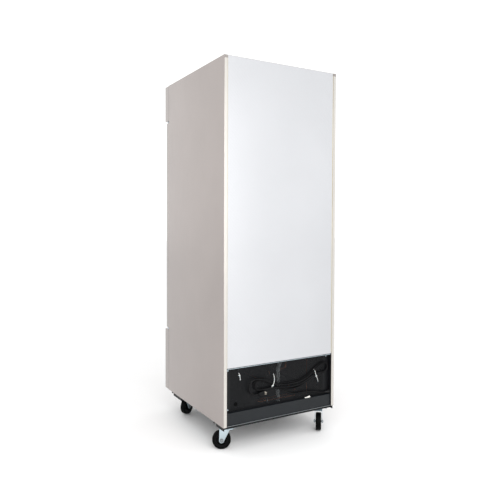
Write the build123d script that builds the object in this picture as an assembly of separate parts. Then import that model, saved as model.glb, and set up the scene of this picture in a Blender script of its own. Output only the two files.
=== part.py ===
from build123d import *
import math
import os

os.makedirs("parts", exist_ok=True)

# One-door bottom-mount reach-in refrigerator on four swivel casters. Lengths in mm, +Z up.
# The origin is on the floor under the middle of the body; the door faces -Y.

# Overall size.
WIDTH = 737.0
DEPTH = 827.0
BODY_H = 1955.0
CASTER_H = 130.0
BEAM_H = 10.0
BASE_Z = CASTER_H + BEAM_H
TOP_Z = BASE_Z + BODY_H
SIDE_X = WIDTH / 2
REAR_Y = DEPTH / 2
FRONT_Y = -DEPTH / 2
SHEET = 1.0

# Front: header box, door and lower grille box stand in front of the insulated body.
FRONT_BOX = 60.0
BODY_FRONT_Y = FRONT_Y + FRONT_BOX
DOOR_FACE_Y = FRONT_Y + 12.0
HEADER_Z = TOP_Z - 222.0
GRILLE_TOP_Z = BASE_Z + 390.0
DOOR_Z = (BASE_Z + 400.0, BASE_Z + 1722.0)
DOOR_HALF = SIDE_X - 4.0
DOOR_BACK_Y = BODY_FRONT_Y - 6.0

# Insulated body.
REAR_FLANGE = 20.0
FRONT_FLANGE = 24.5
DECK_Z = BASE_Z + 314.0
BACK_PANEL_Y = REAR_Y - 2.2
INNER_X = 318.0
INNER_BACK_Y = 360.0
INNER_FRONT_Y = -300.0
INNER_FLOOR_Z = 525.0
INNER_TOP_Z = 2034.0
OPENING_Z = (565.0, 1837.0)
TRIM_BACK_Y = BODY_FRONT_Y + 3.5

# Rear of the machine compartment.
COVER_Y = REAR_Y - 28.3
COVER_T = 1.2
RAIL_TOP_Z = BASE_Z + 70.0

# Door hinge, on the +X side.
HINGE_X = 350.0
HINGE_Y = -377.0
PIN_R = 5.0
RUNNING = 0.06

# Casters: 4 inch wheels under two cross beams.
WHEEL_R = 50.8
WHEEL_HALF = 16.0
TRAIL = 38.0
KINGPIN_R = 6.0
AXLE_R = 6.0
CASTERS = {
    "rear_right": (305.0, 351.5, -27.0),
    "rear_left": (-305.0, 351.5, 52.0),
    "front_right": (318.0, -234.0, 210.0),
    "front_left": (-318.0, -234.0, 140.0),
}

# Power cord, tied to the rear cover in a flat hank.
CORD_D = 8.4
LEAD_ROUTE = [
    (-318, 397, 224),
    (-290, 397, 224),
    (-250, 397, 237),
    (-205, 397, 244),
    (-155, 396, 248),
    (-108, 395, 245),
    (-62, 395, 255),
    (-20, 396, 275),
    (24, 397, 301),
]
TAIL_ROUTE = [
    (62, 402, 334),
    (98, 408, 357),
    (140, 408, 368),
    (177, 406, 371),
    (201, 404, 354),
    (209, 402, 327),
    (201, 400, 300),
    (178, 399, 282),
    (152, 399, 282),
]
HANK_Y = (386.7, 403.7)
HANK_OUTLINE = [
    (-339, 409),
    (-262, 404),
    (-205, 348),
    (-100, 329),
    (45, 331),
    (100, 364),
    (176, 364),
    (176, 300),
    (90, 300),
    (30, 299),
    (-90, 264),
    (-215, 308),
    (-262, 332),
    (-339, 338),
]


def block(x, y, z):
    """A box from its low and high corner along each axis."""
    (x0, x1), (y0, y1), (z0, z1) = sorted(x), sorted(y), sorted(z)
    middle = Pos((x0 + x1) / 2, (y0 + y1) / 2, (z0 + z1) / 2)
    return middle * Box(x1 - x0, y1 - y0, z1 - z0)


def rod(start, end, radius):
    """A round bar between two points."""
    start, end = Vector(*start), Vector(*end)
    bar = Cylinder(radius, (end - start).length, align=(Align.CENTER, Align.CENTER, Align.MIN))
    return Plane(origin=start, z_dir=end - start) * bar


def tube(points, radius, bend):
    """A round bar along straight runs joined by arcs of one radius."""
    path = FilletPolyline(*points, radius=bend)
    return sweep(Plane(origin=path @ 0, z_dir=path % 0) * Circle(radius), path)


def shell(x, y, z, wall=SHEET):
    """A folded sheet box that is open at the back."""
    inner_x = (x[0] + wall, x[1] - wall)
    inner_z = (z[0] + wall, z[1] - wall)
    return block(x, y, z) - block(inner_x, (y[0] + wall, y[1] + wall), inner_z)


def sheet_box(x, y, z, wall=SHEET):
    """The five sheets of a box that is open at the back: face, sides, floor and top."""
    inner_z = (z[0] + wall, z[1] - wall)
    behind = (y[0] + wall, y[1])
    return [
        block(x, (y[0], y[0] + wall), z),
        block((x[0], x[0] + wall), behind, inner_z),
        block((x[1] - wall, x[1]), behind, inner_z),
        block(x, behind, (z[0], z[0] + wall)),
        block(x, behind, (z[1] - wall, z[1])),
    ]


def frame_of_four(x, y, z, width):
    """Four bars round a rectangular opening; x and z are its outer limits."""
    upright_z = (z[0] + width, z[1] - width)
    return [
        block((x[0], x[0] + width), y, upright_z),
        block((x[1] - width, x[1]), y, upright_z),
        block(x, y, (z[0], z[0] + width)),
        block(x, y, (z[1] - width, z[1])),
    ]


# ---- insulated body ----


def side_panel(side):
    """A stainless side sheet with its rear and front flanges."""
    outer = side * SIDE_X
    height = (BASE_Z, TOP_Z)
    skin = block((outer, outer - side * SHEET), (BODY_FRONT_Y, REAR_Y), height)
    rear = block((outer, outer - side * REAR_FLANGE), (REAR_Y - SHEET, REAR_Y), height)
    front_y = (BODY_FRONT_Y, BODY_FRONT_Y + SHEET)
    front = block((outer, outer - side * FRONT_FLANGE), front_y, height)
    return [skin + rear + front]


def top_panel():
    half = SIDE_X - SHEET
    return [block((-half, half), (BODY_FRONT_Y + SHEET, REAR_Y - SHEET), (TOP_Z - SHEET, TOP_Z))]


def back_panel():
    """The light back sheet between the rear flanges, folded under at its lower edge."""
    half = SIDE_X - REAR_FLANGE - 2
    rear = BACK_PANEL_Y + SHEET
    sheet = block((-half, half), (BACK_PANEL_Y, rear), (DECK_Z - 1, TOP_Z - SHEET))
    fold = block((-half, half), (rear - 13, rear), (DECK_Z - 1, DECK_Z))
    return [sheet + fold]


def deck_panel():
    """The ceiling of the machine compartment, under the insulated floor."""
    half = SIDE_X - SHEET
    hole = rod((HOSE_X, HOSE_Y, DECK_Z - 2), (HOSE_X, HOSE_Y, DECK_Z + 3), HOSE_R + 0.3)
    return [block((-half, half), (TRIM_BACK_Y, BACK_PANEL_Y), (DECK_Z, DECK_Z + SHEET)) - hole]


HOSE_X = -16.0
HOSE_Y = 373.0
HOSE_R = 11.0
HOSE_CHANNEL_TOP_Z = 1912.0


def foam_insulation():
    """Foamed-in-place slabs: two sides, back (round the drain hose), top, floor, lintel and sill."""
    low, high = DECK_Z + SHEET, TOP_Z - SHEET
    outer, inner = SIDE_X - SHEET, INNER_X + SHEET
    floor_z, top_z = INNER_FLOOR_Z - SHEET, INNER_TOP_Z + SHEET
    back_y = INNER_BACK_Y + SHEET
    back = (back_y, BACK_PANEL_Y)
    depth = (TRIM_BACK_Y, BACK_PANEL_Y)
    middle = (TRIM_BACK_Y, back_y)
    lip = (TRIM_BACK_Y, INNER_FRONT_Y - SHEET)
    channel = HOSE_R + 0.5
    return [
        block((inner, outer), depth, (low, high)),
        block((-outer, -inner), depth, (low, high)),
        block((-inner, HOSE_X - channel), back, (low, HOSE_CHANNEL_TOP_Z)),
        block((HOSE_X + channel, inner), back, (low, HOSE_CHANNEL_TOP_Z)),
        block((-inner, inner), back, (HOSE_CHANNEL_TOP_Z, high)),
        block((-inner, inner), middle, (top_z, high)),
        block((-inner, inner), middle, (low, floor_z)),
        block((-INNER_X, INNER_X), lip, (OPENING_Z[1] + SHEET, top_z)),
        block((-INNER_X, INNER_X), lip, (floor_z, OPENING_Z[0] - SHEET)),
    ]


def inner_liner():
    """Sheet lining of the storage cavity, one sheet to a wall."""
    side = (INNER_X, INNER_X + SHEET)
    wide = (-INNER_X, INNER_X)
    height = (INNER_FLOOR_Z, INNER_TOP_Z)
    depth = (INNER_FRONT_Y, INNER_BACK_Y)
    full = (TRIM_BACK_Y, INNER_BACK_Y + SHEET)
    lip = (TRIM_BACK_Y, INNER_FRONT_Y - SHEET)
    lip_face = (INNER_FRONT_Y - SHEET, INNER_FRONT_Y)
    low, high = INNER_FLOOR_Z - SHEET, INNER_TOP_Z + SHEET
    back = block(wide, (INNER_BACK_Y, INNER_BACK_Y + SHEET), height)
    hose = rod((HOSE_X, INNER_BACK_Y - 2, 1893), (HOSE_X, INNER_BACK_Y + 3, 1893), HOSE_R + 4)
    return [
        block(side, full, (low, high)),
        block((-side[0], -side[1]), full, (low, high)),
        back - hose,
        block(wide, depth, (low, INNER_FLOOR_Z)),
        block(wide, depth, (INNER_TOP_Z, high)),
        block(wide, lip_face, (OPENING_Z[1], INNER_TOP_Z)),
        block(wide, lip, (OPENING_Z[1], OPENING_Z[1] + SHEET)),
        block(wide, lip_face, (INNER_FLOOR_Z, OPENING_Z[0])),
        block(wide, lip, (OPENING_Z[0] - SHEET, OPENING_Z[0])),
    ]


def door_frame_trim():
    """Plastic breaker strips that the door gasket closes on."""
    width = 26.0
    outer = INNER_X + width
    height = (OPENING_Z[0] - width, OPENING_Z[1] + width)
    return frame_of_four((-outer, outer), (BODY_FRONT_Y, TRIM_BACK_Y), height, width)


# ---- header with its controller, switch and lock ----

CONTROL_X = 180.0
CONTROL_Z = HEADER_Z + 117.0
SWITCH_X = 262.0
LOCK_X = -300.0
LOCK_Z = HEADER_Z + 22.0
LOCK_R = 9.0
BUTTON_X = {"button_set": 158.0, "button_up": 191.0, "button_down": 204.0}
BUTTON_Z = CONTROL_Z - 10.5
BUTTON_SIZE = (9.0, 5.0)
SWITCH_TILT = 8.0


def header_panel():
    """The stainless box over the door, with cut-outs for the controls and the lock."""
    face, left, right, floor, top = sheet_box((-SIDE_X, SIDE_X), (FRONT_Y, BODY_FRONT_Y), (HEADER_Z, TOP_Z))
    through = (FRONT_Y - 1, FRONT_Y + 3)
    face -= block((CONTROL_X - 36, CONTROL_X + 36), through, (CONTROL_Z - 15, CONTROL_Z + 15))
    face -= block((SWITCH_X - 15, SWITCH_X + 15), through, (CONTROL_Z - 11, CONTROL_Z + 11))
    face -= rod((LOCK_X, FRONT_Y - 1, LOCK_Z), (LOCK_X, FRONT_Y + 3, LOCK_Z), LOCK_R + 0.3)
    slot_x = (LOCK_X - 9, LOCK_X + 46)
    floor -= block(slot_x, (FRONT_Y + 3.5, FRONT_Y + 9.5), (HEADER_Z - 1, HEADER_Z + 2))
    return [face, left, right, floor, top]


def controller_case():
    """The thermostat with its bezel, and the housing of the power switch."""
    width = (CONTROL_X - 38.5, CONTROL_X + 38.5)
    bezel = block(width, (FRONT_Y - 2.5, FRONT_Y), (CONTROL_Z - 17.5, CONTROL_Z + 17.5))
    inside = (CONTROL_X - 35.5, CONTROL_X + 35.5)
    case = block(inside, (FRONT_Y, FRONT_Y + 56), (CONTROL_Z - 14.5, CONTROL_Z + 14.5))
    body = bezel + case
    half_x, half_z = BUTTON_SIZE[0] / 2 + 0.4, BUTTON_SIZE[1] / 2 + 0.4
    for x in BUTTON_X.values():
        pocket = (BUTTON_Z - half_z, BUTTON_Z + half_z)
        body -= block((x - half_x, x + half_x), (FRONT_Y - 3, FRONT_Y + 2.2), pocket)
    rim_z = (CONTROL_Z - 13, CONTROL_Z + 13)
    rim = block((SWITCH_X - 17, SWITCH_X + 17), (FRONT_Y - 2, FRONT_Y), rim_z)
    well_z = (CONTROL_Z - 10.8, CONTROL_Z + 10.8)
    rim += block((SWITCH_X - 14.8, SWITCH_X + 14.8), (FRONT_Y, FRONT_Y + 22), well_z)
    hole_z = (CONTROL_Z - 9, CONTROL_Z + 9)
    rim -= block((SWITCH_X - 13, SWITCH_X + 13), (FRONT_Y - 3, FRONT_Y + 12), hole_z)
    return [body, rim]


def button(x):
    half_x, half_z = BUTTON_SIZE[0] / 2, BUTTON_SIZE[1] / 2
    height = (BUTTON_Z - half_z, BUTTON_Z + half_z)
    pad = block((x - half_x, x + half_x), (FRONT_Y - 3.6, FRONT_Y + 1), height)
    return [fillet(pad.edges().filter_by(Axis.Y), 1.2)]


def power_rocker():
    """The rocker of the power switch, tilted to its off position."""
    face = [(-2.2, 7.6), (0.6, 0.0), (-2.2, -7.6), (5.5, -7.2), (5.5, 7.2)]
    outline = Plane.YZ * make_face(Polyline(*face, close=True))
    rocker = Pos(-12.2, 0, 0) * extrude(outline, 24.4)
    place = Pos(SWITCH_X, FRONT_Y + 1.5, CONTROL_Z) * Rot(X=SWITCH_TILT)
    return [place * rocker]


def lock_barrel():
    """The key barrel, with its head outside the header and its cam behind the sheet."""
    head = rod((LOCK_X, FRONT_Y - 3.2, LOCK_Z), (LOCK_X, FRONT_Y - 0.4, LOCK_Z), 12.0)
    plug = rod((LOCK_X, FRONT_Y - 1, LOCK_Z), (LOCK_X, FRONT_Y + 9, LOCK_Z), LOCK_R)
    cam = block((LOCK_X, LOCK_X + 36), (FRONT_Y + 5, FRONT_Y + 7.5), (LOCK_Z - 6, LOCK_Z + 6))
    tip = rod((LOCK_X + 36, FRONT_Y + 5, LOCK_Z), (LOCK_X + 36, FRONT_Y + 7.5, LOCK_Z), 6.0)
    key_x, key_z = (LOCK_X - 0.9, LOCK_X + 0.9), (LOCK_Z - 4, LOCK_Z + 4)
    return [head + plug + cam + tip - block(key_x, (FRONT_Y - 4, FRONT_Y + 2), key_z)]


# ---- lower front ----


def front_grille():
    """The stainless box under the door, with rows of air slots."""
    sheets = sheet_box((-SIDE_X, SIDE_X), (FRONT_Y, BODY_FRONT_Y), (BASE_Z, GRILLE_TOP_Z))
    slots = []
    for row in range(12):
        z = BASE_Z + 62 + 24 * row
        for x in (-205, 0, 205):
            slots.append(block((x - 92, x + 92), (FRONT_Y - 1, FRONT_Y + 3), (z, z + 9)))
    return [sheets[0] - slots] + sheets[1:]


def panel_screws():
    """Round-headed screws that hold the grille, the rear cover and the back panel."""
    screws = []
    for x in (-350, 350):
        for z in (BASE_Z + 30, GRILLE_TOP_Z - 30):
            screws.append(rod((x, FRONT_Y - 2, z), (x, FRONT_Y, z), 4.5))
    cover = COVER_Y + COVER_T
    for x in (-330, 330):
        for z in (RAIL_TOP_Z + 12, DECK_Z - 20):
            screws.append(rod((x, cover, z), (x, cover + 2, z), 4.5))
    return screws


# ---- base, beams and rear cover ----


def base_frame():
    """Black folded rails on all four sides, and the pan that carries the machinery."""
    half = SIDE_X - SHEET - 1
    rear_face = REAR_Y - 7.5
    inner_y = COVER_Y + COVER_T + 0.8
    rear = block((-half, half), (rear_face - 2, rear_face), (BASE_Z, RAIL_TOP_Z))
    rear += block((-half, half), (inner_y, rear_face), (RAIL_TOP_Z - 2, RAIL_TOP_Z))
    rear += block((-half, half), (inner_y, REAR_Y - 2), (BASE_Z, BASE_Z + 2))
    front_y = TRIM_BACK_Y + 2
    front = block((-half, half), (TRIM_BACK_Y, front_y), (BASE_Z, BASE_Z + 60))
    front += block((-half, half), (front_y, front_y + 20), (BASE_Z, BASE_Z + 2))
    rails = [rear, front]
    side_y = (front_y + 20, inner_y - 4)
    for side in (-1, 1):
        rail = block((side * half, side * (half - 2)), side_y, (BASE_Z, BASE_Z + 60))
        rail += block((side * half, side * (half - 20)), side_y, (BASE_Z, BASE_Z + 2))
        rails.append(rail)
    pan = block((-half + 3, half - 3), (front_y, inner_y - 4), (BASE_Z + 2, BASE_Z + 3.2))
    return rails + [pan]


def caster_beams():
    """Two black cross beams under the base, each with a lip along its front and at its ends."""
    beams = []
    for low, high, lip in ((-282, -154, -310), (320, 408, 287)):
        pad = block((-365, 365), (low, high), (CASTER_H, BASE_Z - 1.5))
        plate = block((-365, 365), (lip, high), (BASE_Z - 1.5, BASE_Z))
        edge = block((-365, 365), (lip, lip + 6), (CASTER_H - 2, BASE_Z - 1.5))
        ends = [block((side * 361, side * 365), (low, high), (121, CASTER_H)) for side in (-1, 1)]
        beams.append(pad + plate + edge + ends)
    return beams


def rear_cover():
    """The black vented cover, set in a shallow recess with folded sides and top."""
    half = 346.2
    deep = (COVER_Y, COVER_Y + COVER_T)
    cover = block((-half, half), deep, (BASE_Z + 6, DECK_Z - 3))
    fold = (COVER_Y + COVER_T, REAR_Y - 2.5)
    sides_z = (RAIL_TOP_Z + 1, DECK_Z - 3 - COVER_T)
    folds = [block((side * half, side * (half - COVER_T)), fold, sides_z) for side in (-1, 1)]
    folds.append(block((-half, half), fold, (DECK_Z - 3 - COVER_T, DECK_Z - 3)))
    slots = []
    for row in range(8):
        z = RAIL_TOP_Z + 18 + 26 * row
        for column in range(10):
            x = -288 + 64 * column
            slots.append(block((x - 24, x + 24), (COVER_Y - 1, COVER_Y + 3), (z, z + 10)))
    return [cover - slots] + folds


# ---- machine compartment ----

PAN_Z = BASE_Z + 3.2
COMPRESSOR = (-70.0, 235.0)
FAN_Z = 290.0


def compressor():
    """Hermetic compressor: welded shell, mounting plate and terminal cover."""
    x, y = COMPRESSOR
    low = PAN_Z + 21
    shell_part = Pos(x, y, low + 78) * Cylinder(70, 150)
    shell_part = fillet(shell_part.edges(), 26)
    plate = block((x - 95, x + 95), (y - 60, y + 60), (PAN_Z + 18, PAN_Z + 21))
    terminals = block((x + 71, x + 100), (y - 24, y + 24), (low + 55, low + 115))
    return [shell_part, plate, terminals]


def compressor_feet():
    """Four rubber grommets under the compressor plate."""
    x, y = COMPRESSOR
    feet = []
    for dx in (-82, 82):
        for dy in (-47, 47):
            feet.append(rod((x + dx, y + dy, PAN_Z), (x + dx, y + dy, PAN_Z + 18), 11))
    return feet


def condenser_coil():
    """Finned block with its end plates and return bends."""
    y = (-332.0, -272.0)
    z = (PAN_Z + 4, PAN_Z + 284)
    fins = block((-180, 180), y, z)
    ends = [block((side * 180, side * 182), (y[0], y[1]), (PAN_Z, z[1] + 4)) for side in (-1, 1)]
    bends = []
    for side in (-1, 1):
        for step in range(5):
            height = z[0] + 28 + 52 * step
            arc = ThreePointArc((0, -13), (13, 0), (0, 13))
            bend = sweep(Plane((0, -13, 0), x_dir=(0, 1, 0), z_dir=(1, 0, 0)) * Circle(4.5), arc)
            turned = bend if side > 0 else Rot(Z=180) * bend
            bends.append(Pos(side * 182, (y[0] + y[1]) / 2, height) * turned)
    return [fins] + ends + bends


def condenser_fan_shroud():
    """A flat plate behind the coil with a round air opening."""
    y = (-270.0, -268.0)
    plate = block((-180, 180), y, (PAN_Z, PAN_Z + 286))
    return [plate - rod((0, y[0] - 1, FAN_Z), (0, y[1] + 1, FAN_Z), 118)]


def fan_blades(centre_y, z, radius, hub_r, count, thick, shaft_end_y, shaft_r):
    """A fan with tilted blades round a hub, and its shaft, turning about Y."""
    chord = radius * 0.42
    fan = rod((0, centre_y - 12, z), (0, centre_y + 12, z), hub_r)
    for step in range(count):
        blade = Pos(0, 0, (hub_r + radius) / 2) * Box(chord, thick, radius - hub_r + 4)
        blade = Rot(Z=28) * blade
        fan += Pos(0, centre_y, z) * Rot(Y=360 / count * step) * blade
    fan += rod((0, centre_y, z), (0, shaft_end_y, z), shaft_r)
    return [fan]


def condenser_fan_motor():
    """The fan's motor on its bracket."""
    y = (-215.0, -150.0)
    motor = rod((0, y[0], FAN_Z), (0, y[1], FAN_Z), 38)
    motor -= rod((0, y[0] - 1, FAN_Z), (0, y[0] + 30, FAN_Z), 4.3)
    foot = block((-45, 45), (y[0] + 8, y[1] - 8), (PAN_Z, PAN_Z + 3))
    post = block((-25, 25), (y[0] + 20, y[1] - 20), (PAN_Z + 3, FAN_Z - 30))
    return [motor + post + foot]


def condensate_pan():
    """The tray that catches defrost water and boils it off."""
    x, y, z = (-150.0, 190.0), (318.0, 374.0), (PAN_Z, BASE_Z + 72)
    inside = block((x[0] + 1.5, x[1] - 1.5), (y[0] + 1.5, y[1] - 1.5), (z[0] + 1.5, z[1] + 1))
    return [block(x, y, z) - inside]


def refrigerant_lines():
    """Copper: hot gas loop over the pan, discharge, suction and liquid lines, and the filter drier."""
    z = BASE_Z + 87
    loop = tube([(-128, 328, z), (120, 328, z), (120, 364, z), (-120, 364, z)], 4.8, 15)
    top = PAN_Z + 21 + 155
    x, y = COMPRESSOR
    suction = tube([(x, y + 20, top), (x, y + 20, top + 40), (x - 60, y + 20, top + 40),
                    (x - 60, y + 20, DECK_Z)], 6.5, 18)
    discharge = tube([(x + 20, y - 30, top), (x + 20, y - 30, top + 28), (x + 20, -60, top + 28),
                      (150, -60, top + 28), (150, -60, 200), (150, -267.5, 200)], 4, 16)
    liquid = tube([(-150, -267.5, 200), (-150, -100, 200), (-230, -100, 200), (-230, 90, 200)], 4, 16)
    drier = rod((-230, 90, 200), (-230, 210, 200), 12)
    drier = fillet(drier.edges().filter_by(GeomType.CIRCLE), 5)
    feed = tube([(-230, 210, 200), (-230, 330, 200), (-230, 330, DECK_Z)], 3, 16)
    return [loop, suction, discharge, liquid, drier, feed]


def drain_hose():
    """The drain from the evaporator, down inside the back wall and into the condensate pan."""
    points = [(HOSE_X, 342, 1895), (HOSE_X, HOSE_Y, 1895), (HOSE_X, HOSE_Y, 440),
              (HOSE_X, 346, 400), (HOSE_X, 346, BASE_Z + 30)]
    return [tube(points, HOSE_R, 22)]


def junction_box():
    box = block((230, 320), (180, 300), (PAN_Z, PAN_Z + 95))
    lid = block((226, 324), (176, 304), (PAN_Z + 95, PAN_Z + 98))
    return [fillet(box.edges().filter_by(Axis.Z), 6), lid]


# ---- evaporator and storage cavity ----

EVAPORATOR_Z = (1880.0, INNER_TOP_Z)
EVAPORATOR_Y = (90.0, 342.0)
EVAP_FAN_Z = 1957.0


def evaporator_housing():
    """The sheet cover under the ceiling, with a round outlet for the fan."""
    wall = 1.5
    x, y, z = (-285.0, 285.0), EVAPORATOR_Y, EVAPORATOR_Z
    above = (z[0] + wall, z[1])
    between = (y[0] + wall, y[1] - wall)
    front = block(x, (y[0], y[0] + wall), above) - rod((0, 80, EVAP_FAN_Z), (0, 100, EVAP_FAN_Z), 72)
    return [
        front,
        block(x, (y[1] - wall, y[1]), above),
        block((x[0], x[0] + wall), between, above),
        block((x[1] - wall, x[1]), between, above),
        block(x, y, (z[0], z[0] + wall)),
    ]


def evaporator_coil():
    fins = block((-240, 240), (210, 320), (EVAPORATOR_Z[0] + 20, EVAPORATOR_Z[1] - 14))
    end_z = (EVAPORATOR_Z[0] + 18, INNER_TOP_Z)
    ends = [block((side * 240, side * 242), (208, 322), end_z) for side in (-1, 1)]
    return [fins] + ends


def evaporator_fan_motor():
    motor = rod((0, 132, EVAP_FAN_Z), (0, 178, EVAP_FAN_Z), 24)
    motor -= rod((0, 131, EVAP_FAN_Z), (0, 152, EVAP_FAN_Z), 3.3)
    strap = block((-14, 14), (150, 170), (EVAP_FAN_Z + 20, INNER_TOP_Z))
    return [motor + strap]


def interior_light():
    """A ceiling lamp bar behind the lintel."""
    bar = block((-160, 160), (INNER_FRONT_Y, INNER_FRONT_Y + 30), (INNER_TOP_Z - 22, INNER_TOP_Z))
    return [fillet(bar.edges().filter_by(Axis.X).group_by(Axis.Z)[0], 8)]


STANDARD_Y = (-240.0, 300.0)
SHELVES = {"shelf_lower": 850.0, "shelf_middle": 1180.0, "shelf_upper": 1510.0}
RIM_R = 3.0
WIRE_R = 1.8
SHELF_Y = (-262.0, 322.0)


def shelf_standards():
    """Four slotted uprights on the side walls."""
    standards = []
    for side in (-1, 1):
        for y in STANDARD_Y:
            bar = block((side * INNER_X, side * (INNER_X - 9)), (y - 9, y + 9), (545, 1820))
            slots = []
            for step in range(24):
                z = 570 + 50.8 * step
                x = (side * (INNER_X - 10), side * (INNER_X - 6))
                slots.append(block(x, (y - 3, y + 3), (z, z + 16)))
            standards.append(bar - slots)
    return standards


def shelf_clips():
    """Clips that hook on the uprights, four under each shelf."""
    clips = []
    for height in SHELVES.values():
        top = height - RIM_R
        for side in (-1, 1):
            for y in STANDARD_Y:
                x = side * (INNER_X - 9)
                clip = block((x, x - side * 20), (y - 7, y + 7), (top - 2, top))
                clip += block((x, x - side * 2), (y - 7, y + 7), (top - 22, top))
                clips.append(clip)
    return clips


def wire_shelf(height):
    """A coated wire shelf: rim and cross bars with thinner wires lying on them."""
    half = 300.0
    rods = []
    for x in (-half, half):
        rods.append(rod((x, SHELF_Y[0], height), (x, SHELF_Y[1], height), RIM_R))
    reach = half - RIM_R
    for y in (SHELF_Y[0] + RIM_R, 30.0, SHELF_Y[1] - RIM_R):
        rods.append(rod((-reach, y, height), (reach, y, height), RIM_R))
    top = height + RIM_R + WIRE_R
    for step in range(23):
        x = -275 + 25 * step
        rods.append(rod((x, SHELF_Y[0], top), (x, SHELF_Y[1], top), WIRE_R))
    return rods


# ---- door ----

HANDLE_X = (-352.0, -318.0)
HANDLE_Z = (880.0, 1480.0)
HANDLE_DEPTH = 26.0
BUSHING_R = 9.0


def hinge_holes(radius):
    """Round cuts on the hinge axis at the top and the bottom of the door."""
    low, high = DOOR_Z
    bottom = rod((HINGE_X, HINGE_Y, low - 1), (HINGE_X, HINGE_Y, low + 17), radius)
    top = rod((HINGE_X, HINGE_Y, high - 17), (HINGE_X, HINGE_Y, high + 1), radius)
    return [bottom, top]


def door_skin():
    """The stainless outer pan of the door, with a window for the recessed handle."""
    skin = shell((-DOOR_HALF, DOOR_HALF), (DOOR_FACE_Y, DOOR_BACK_Y), DOOR_Z)
    window = block(HANDLE_X, (DOOR_FACE_Y - 1, DOOR_FACE_Y + 3), HANDLE_Z)
    return [skin - window - hinge_holes(BUSHING_R)]


def door_foam():
    """The door's foam core, in slabs round the handle and clear of the hinge bushings."""
    back = DOOR_BACK_Y - SHEET
    y = (DOOR_FACE_Y + SHEET, back)
    low, high = DOOR_Z[0] + SHEET, DOOR_Z[1] - SHEET
    edge, hinge_side = DOOR_HALF - SHEET, HINGE_X - 14
    deep = DOOR_FACE_Y + HANDLE_DEPTH
    return [
        block((HANDLE_X[1], hinge_side), y, (low, high)),
        block((hinge_side, edge), y, (low + 18, high - 18)),
        block((-edge, HANDLE_X[1]), y, (low, HANDLE_Z[0])),
        block((-edge, HANDLE_X[1]), y, (HANDLE_Z[1], high)),
        block((-edge, HANDLE_X[1]), (deep, back), HANDLE_Z),
    ]


def door_liner():
    """The inner pan of the door, with a raised dyke inside the gasket."""
    y = (DOOR_BACK_Y - SHEET, DOOR_BACK_Y)
    half = DOOR_HALF - SHEET
    height = (DOOR_Z[0] + SHEET, DOOR_Z[1] - SHEET)
    pan = block((-half, half), y, height)
    dyke_y = (DOOR_BACK_Y, DOOR_BACK_Y + 13)
    return [pan] + frame_of_four((-298, 298), dyke_y, (OPENING_Z[0] + 22, OPENING_Z[1] - 22), 36)


def door_gasket():
    """The magnetic seal: four sides, a hair clear of the trim that it closes on."""
    outer = INNER_X + 23
    height = (OPENING_Z[0] - 21, OPENING_Z[1] + 21)
    return frame_of_four((-outer, outer), (DOOR_BACK_Y, BODY_FRONT_Y - 0.35), height, 19)


def door_handle():
    """A recessed pull: a channel let into the door face, with a lip to pull on."""
    wall = 1.5
    x, z = HANDLE_X, HANDLE_Z
    front, deep = DOOR_FACE_Y, DOOR_FACE_Y + HANDLE_DEPTH
    channel = block(x, (front, deep), z)
    inside_z = (z[0] + wall, z[1] - wall)
    channel -= block((x[0] + wall, x[1] - wall), (front - 1, deep - wall), inside_z)
    lip = block((x[1] - wall - 9, x[1] - wall), (front, front + 2), inside_z)
    return [channel + lip]


def hinge_bushings():
    """Nylon bushings in the door's ends that turn on the hinge pins."""
    low, high = DOOR_Z
    bottom = rod((HINGE_X, HINGE_Y, low), (HINGE_X, HINGE_Y, low + 17), BUSHING_R)
    top = rod((HINGE_X, HINGE_Y, high - 17), (HINGE_X, HINGE_Y, high), BUSHING_R)
    bore = rod((HINGE_X, HINGE_Y, low - 1), (HINGE_X, HINGE_Y, high + 1), PIN_R + RUNNING)
    return [bottom - bore, top - bore]


def hinge_brackets():
    """Steel brackets on the body's front with the pins that the door turns on."""
    parts = []
    x, y = (328.0, 366.0), (HINGE_Y - 14, BODY_FRONT_Y)
    for low, pin in ((DOOR_Z[1] + 3, (DOOR_Z[1] - 15, DOOR_Z[1] + 7)),
                     (DOOR_Z[0] - 7, (DOOR_Z[0] - 7, DOOR_Z[0] + 15))):
        plate = block(x, y, (low, low + 4))
        plate = fillet(plate.edges().filter_by(Axis.Z).group_by(Axis.Y)[0], 12)
        pin_bar = rod((HINGE_X, HINGE_Y, pin[0]), (HINGE_X, HINGE_Y, pin[1]), PIN_R)
        parts.append(plate + pin_bar)
    return parts


# ---- casters ----


def at_caster(name, part):
    """Puts a part that is drawn round the swivel axis, wheel towards +X, in its place."""
    x, y, angle = CASTERS[name]
    return Pos(x, y, 0) * Rot(Z=angle) * part


def caster_plates():
    """Four bolt plates with their swivel races, square to the body."""
    plates = []
    for x, y, _ in CASTERS.values():
        plate = block((x - 33, x + 33), (y - 46, y + 46), (CASTER_H - 3, CASTER_H))
        plate = fillet(plate.edges().filter_by(Axis.Z), 6)
        race = Pos(x, y, CASTER_H - 8) * Cylinder(26, 10)
        bore = Pos(x, y, CASTER_H - 5) * Cylinder(KINGPIN_R + RUNNING, 30)
        plates.append(plate + race - bore)
    return plates


def caster_bolts():
    """Hex bolts through each caster plate, seen from below."""
    bolts = []
    for x, y, _ in CASTERS.values():
        for dx in (-25, 25):
            for dy in (-38, 38):
                head = extrude(Plane((x + dx, y + dy, CASTER_H - 8)) * RegularPolygon(6, 6), 5)
                bolts.append(head)
    return bolts


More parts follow.
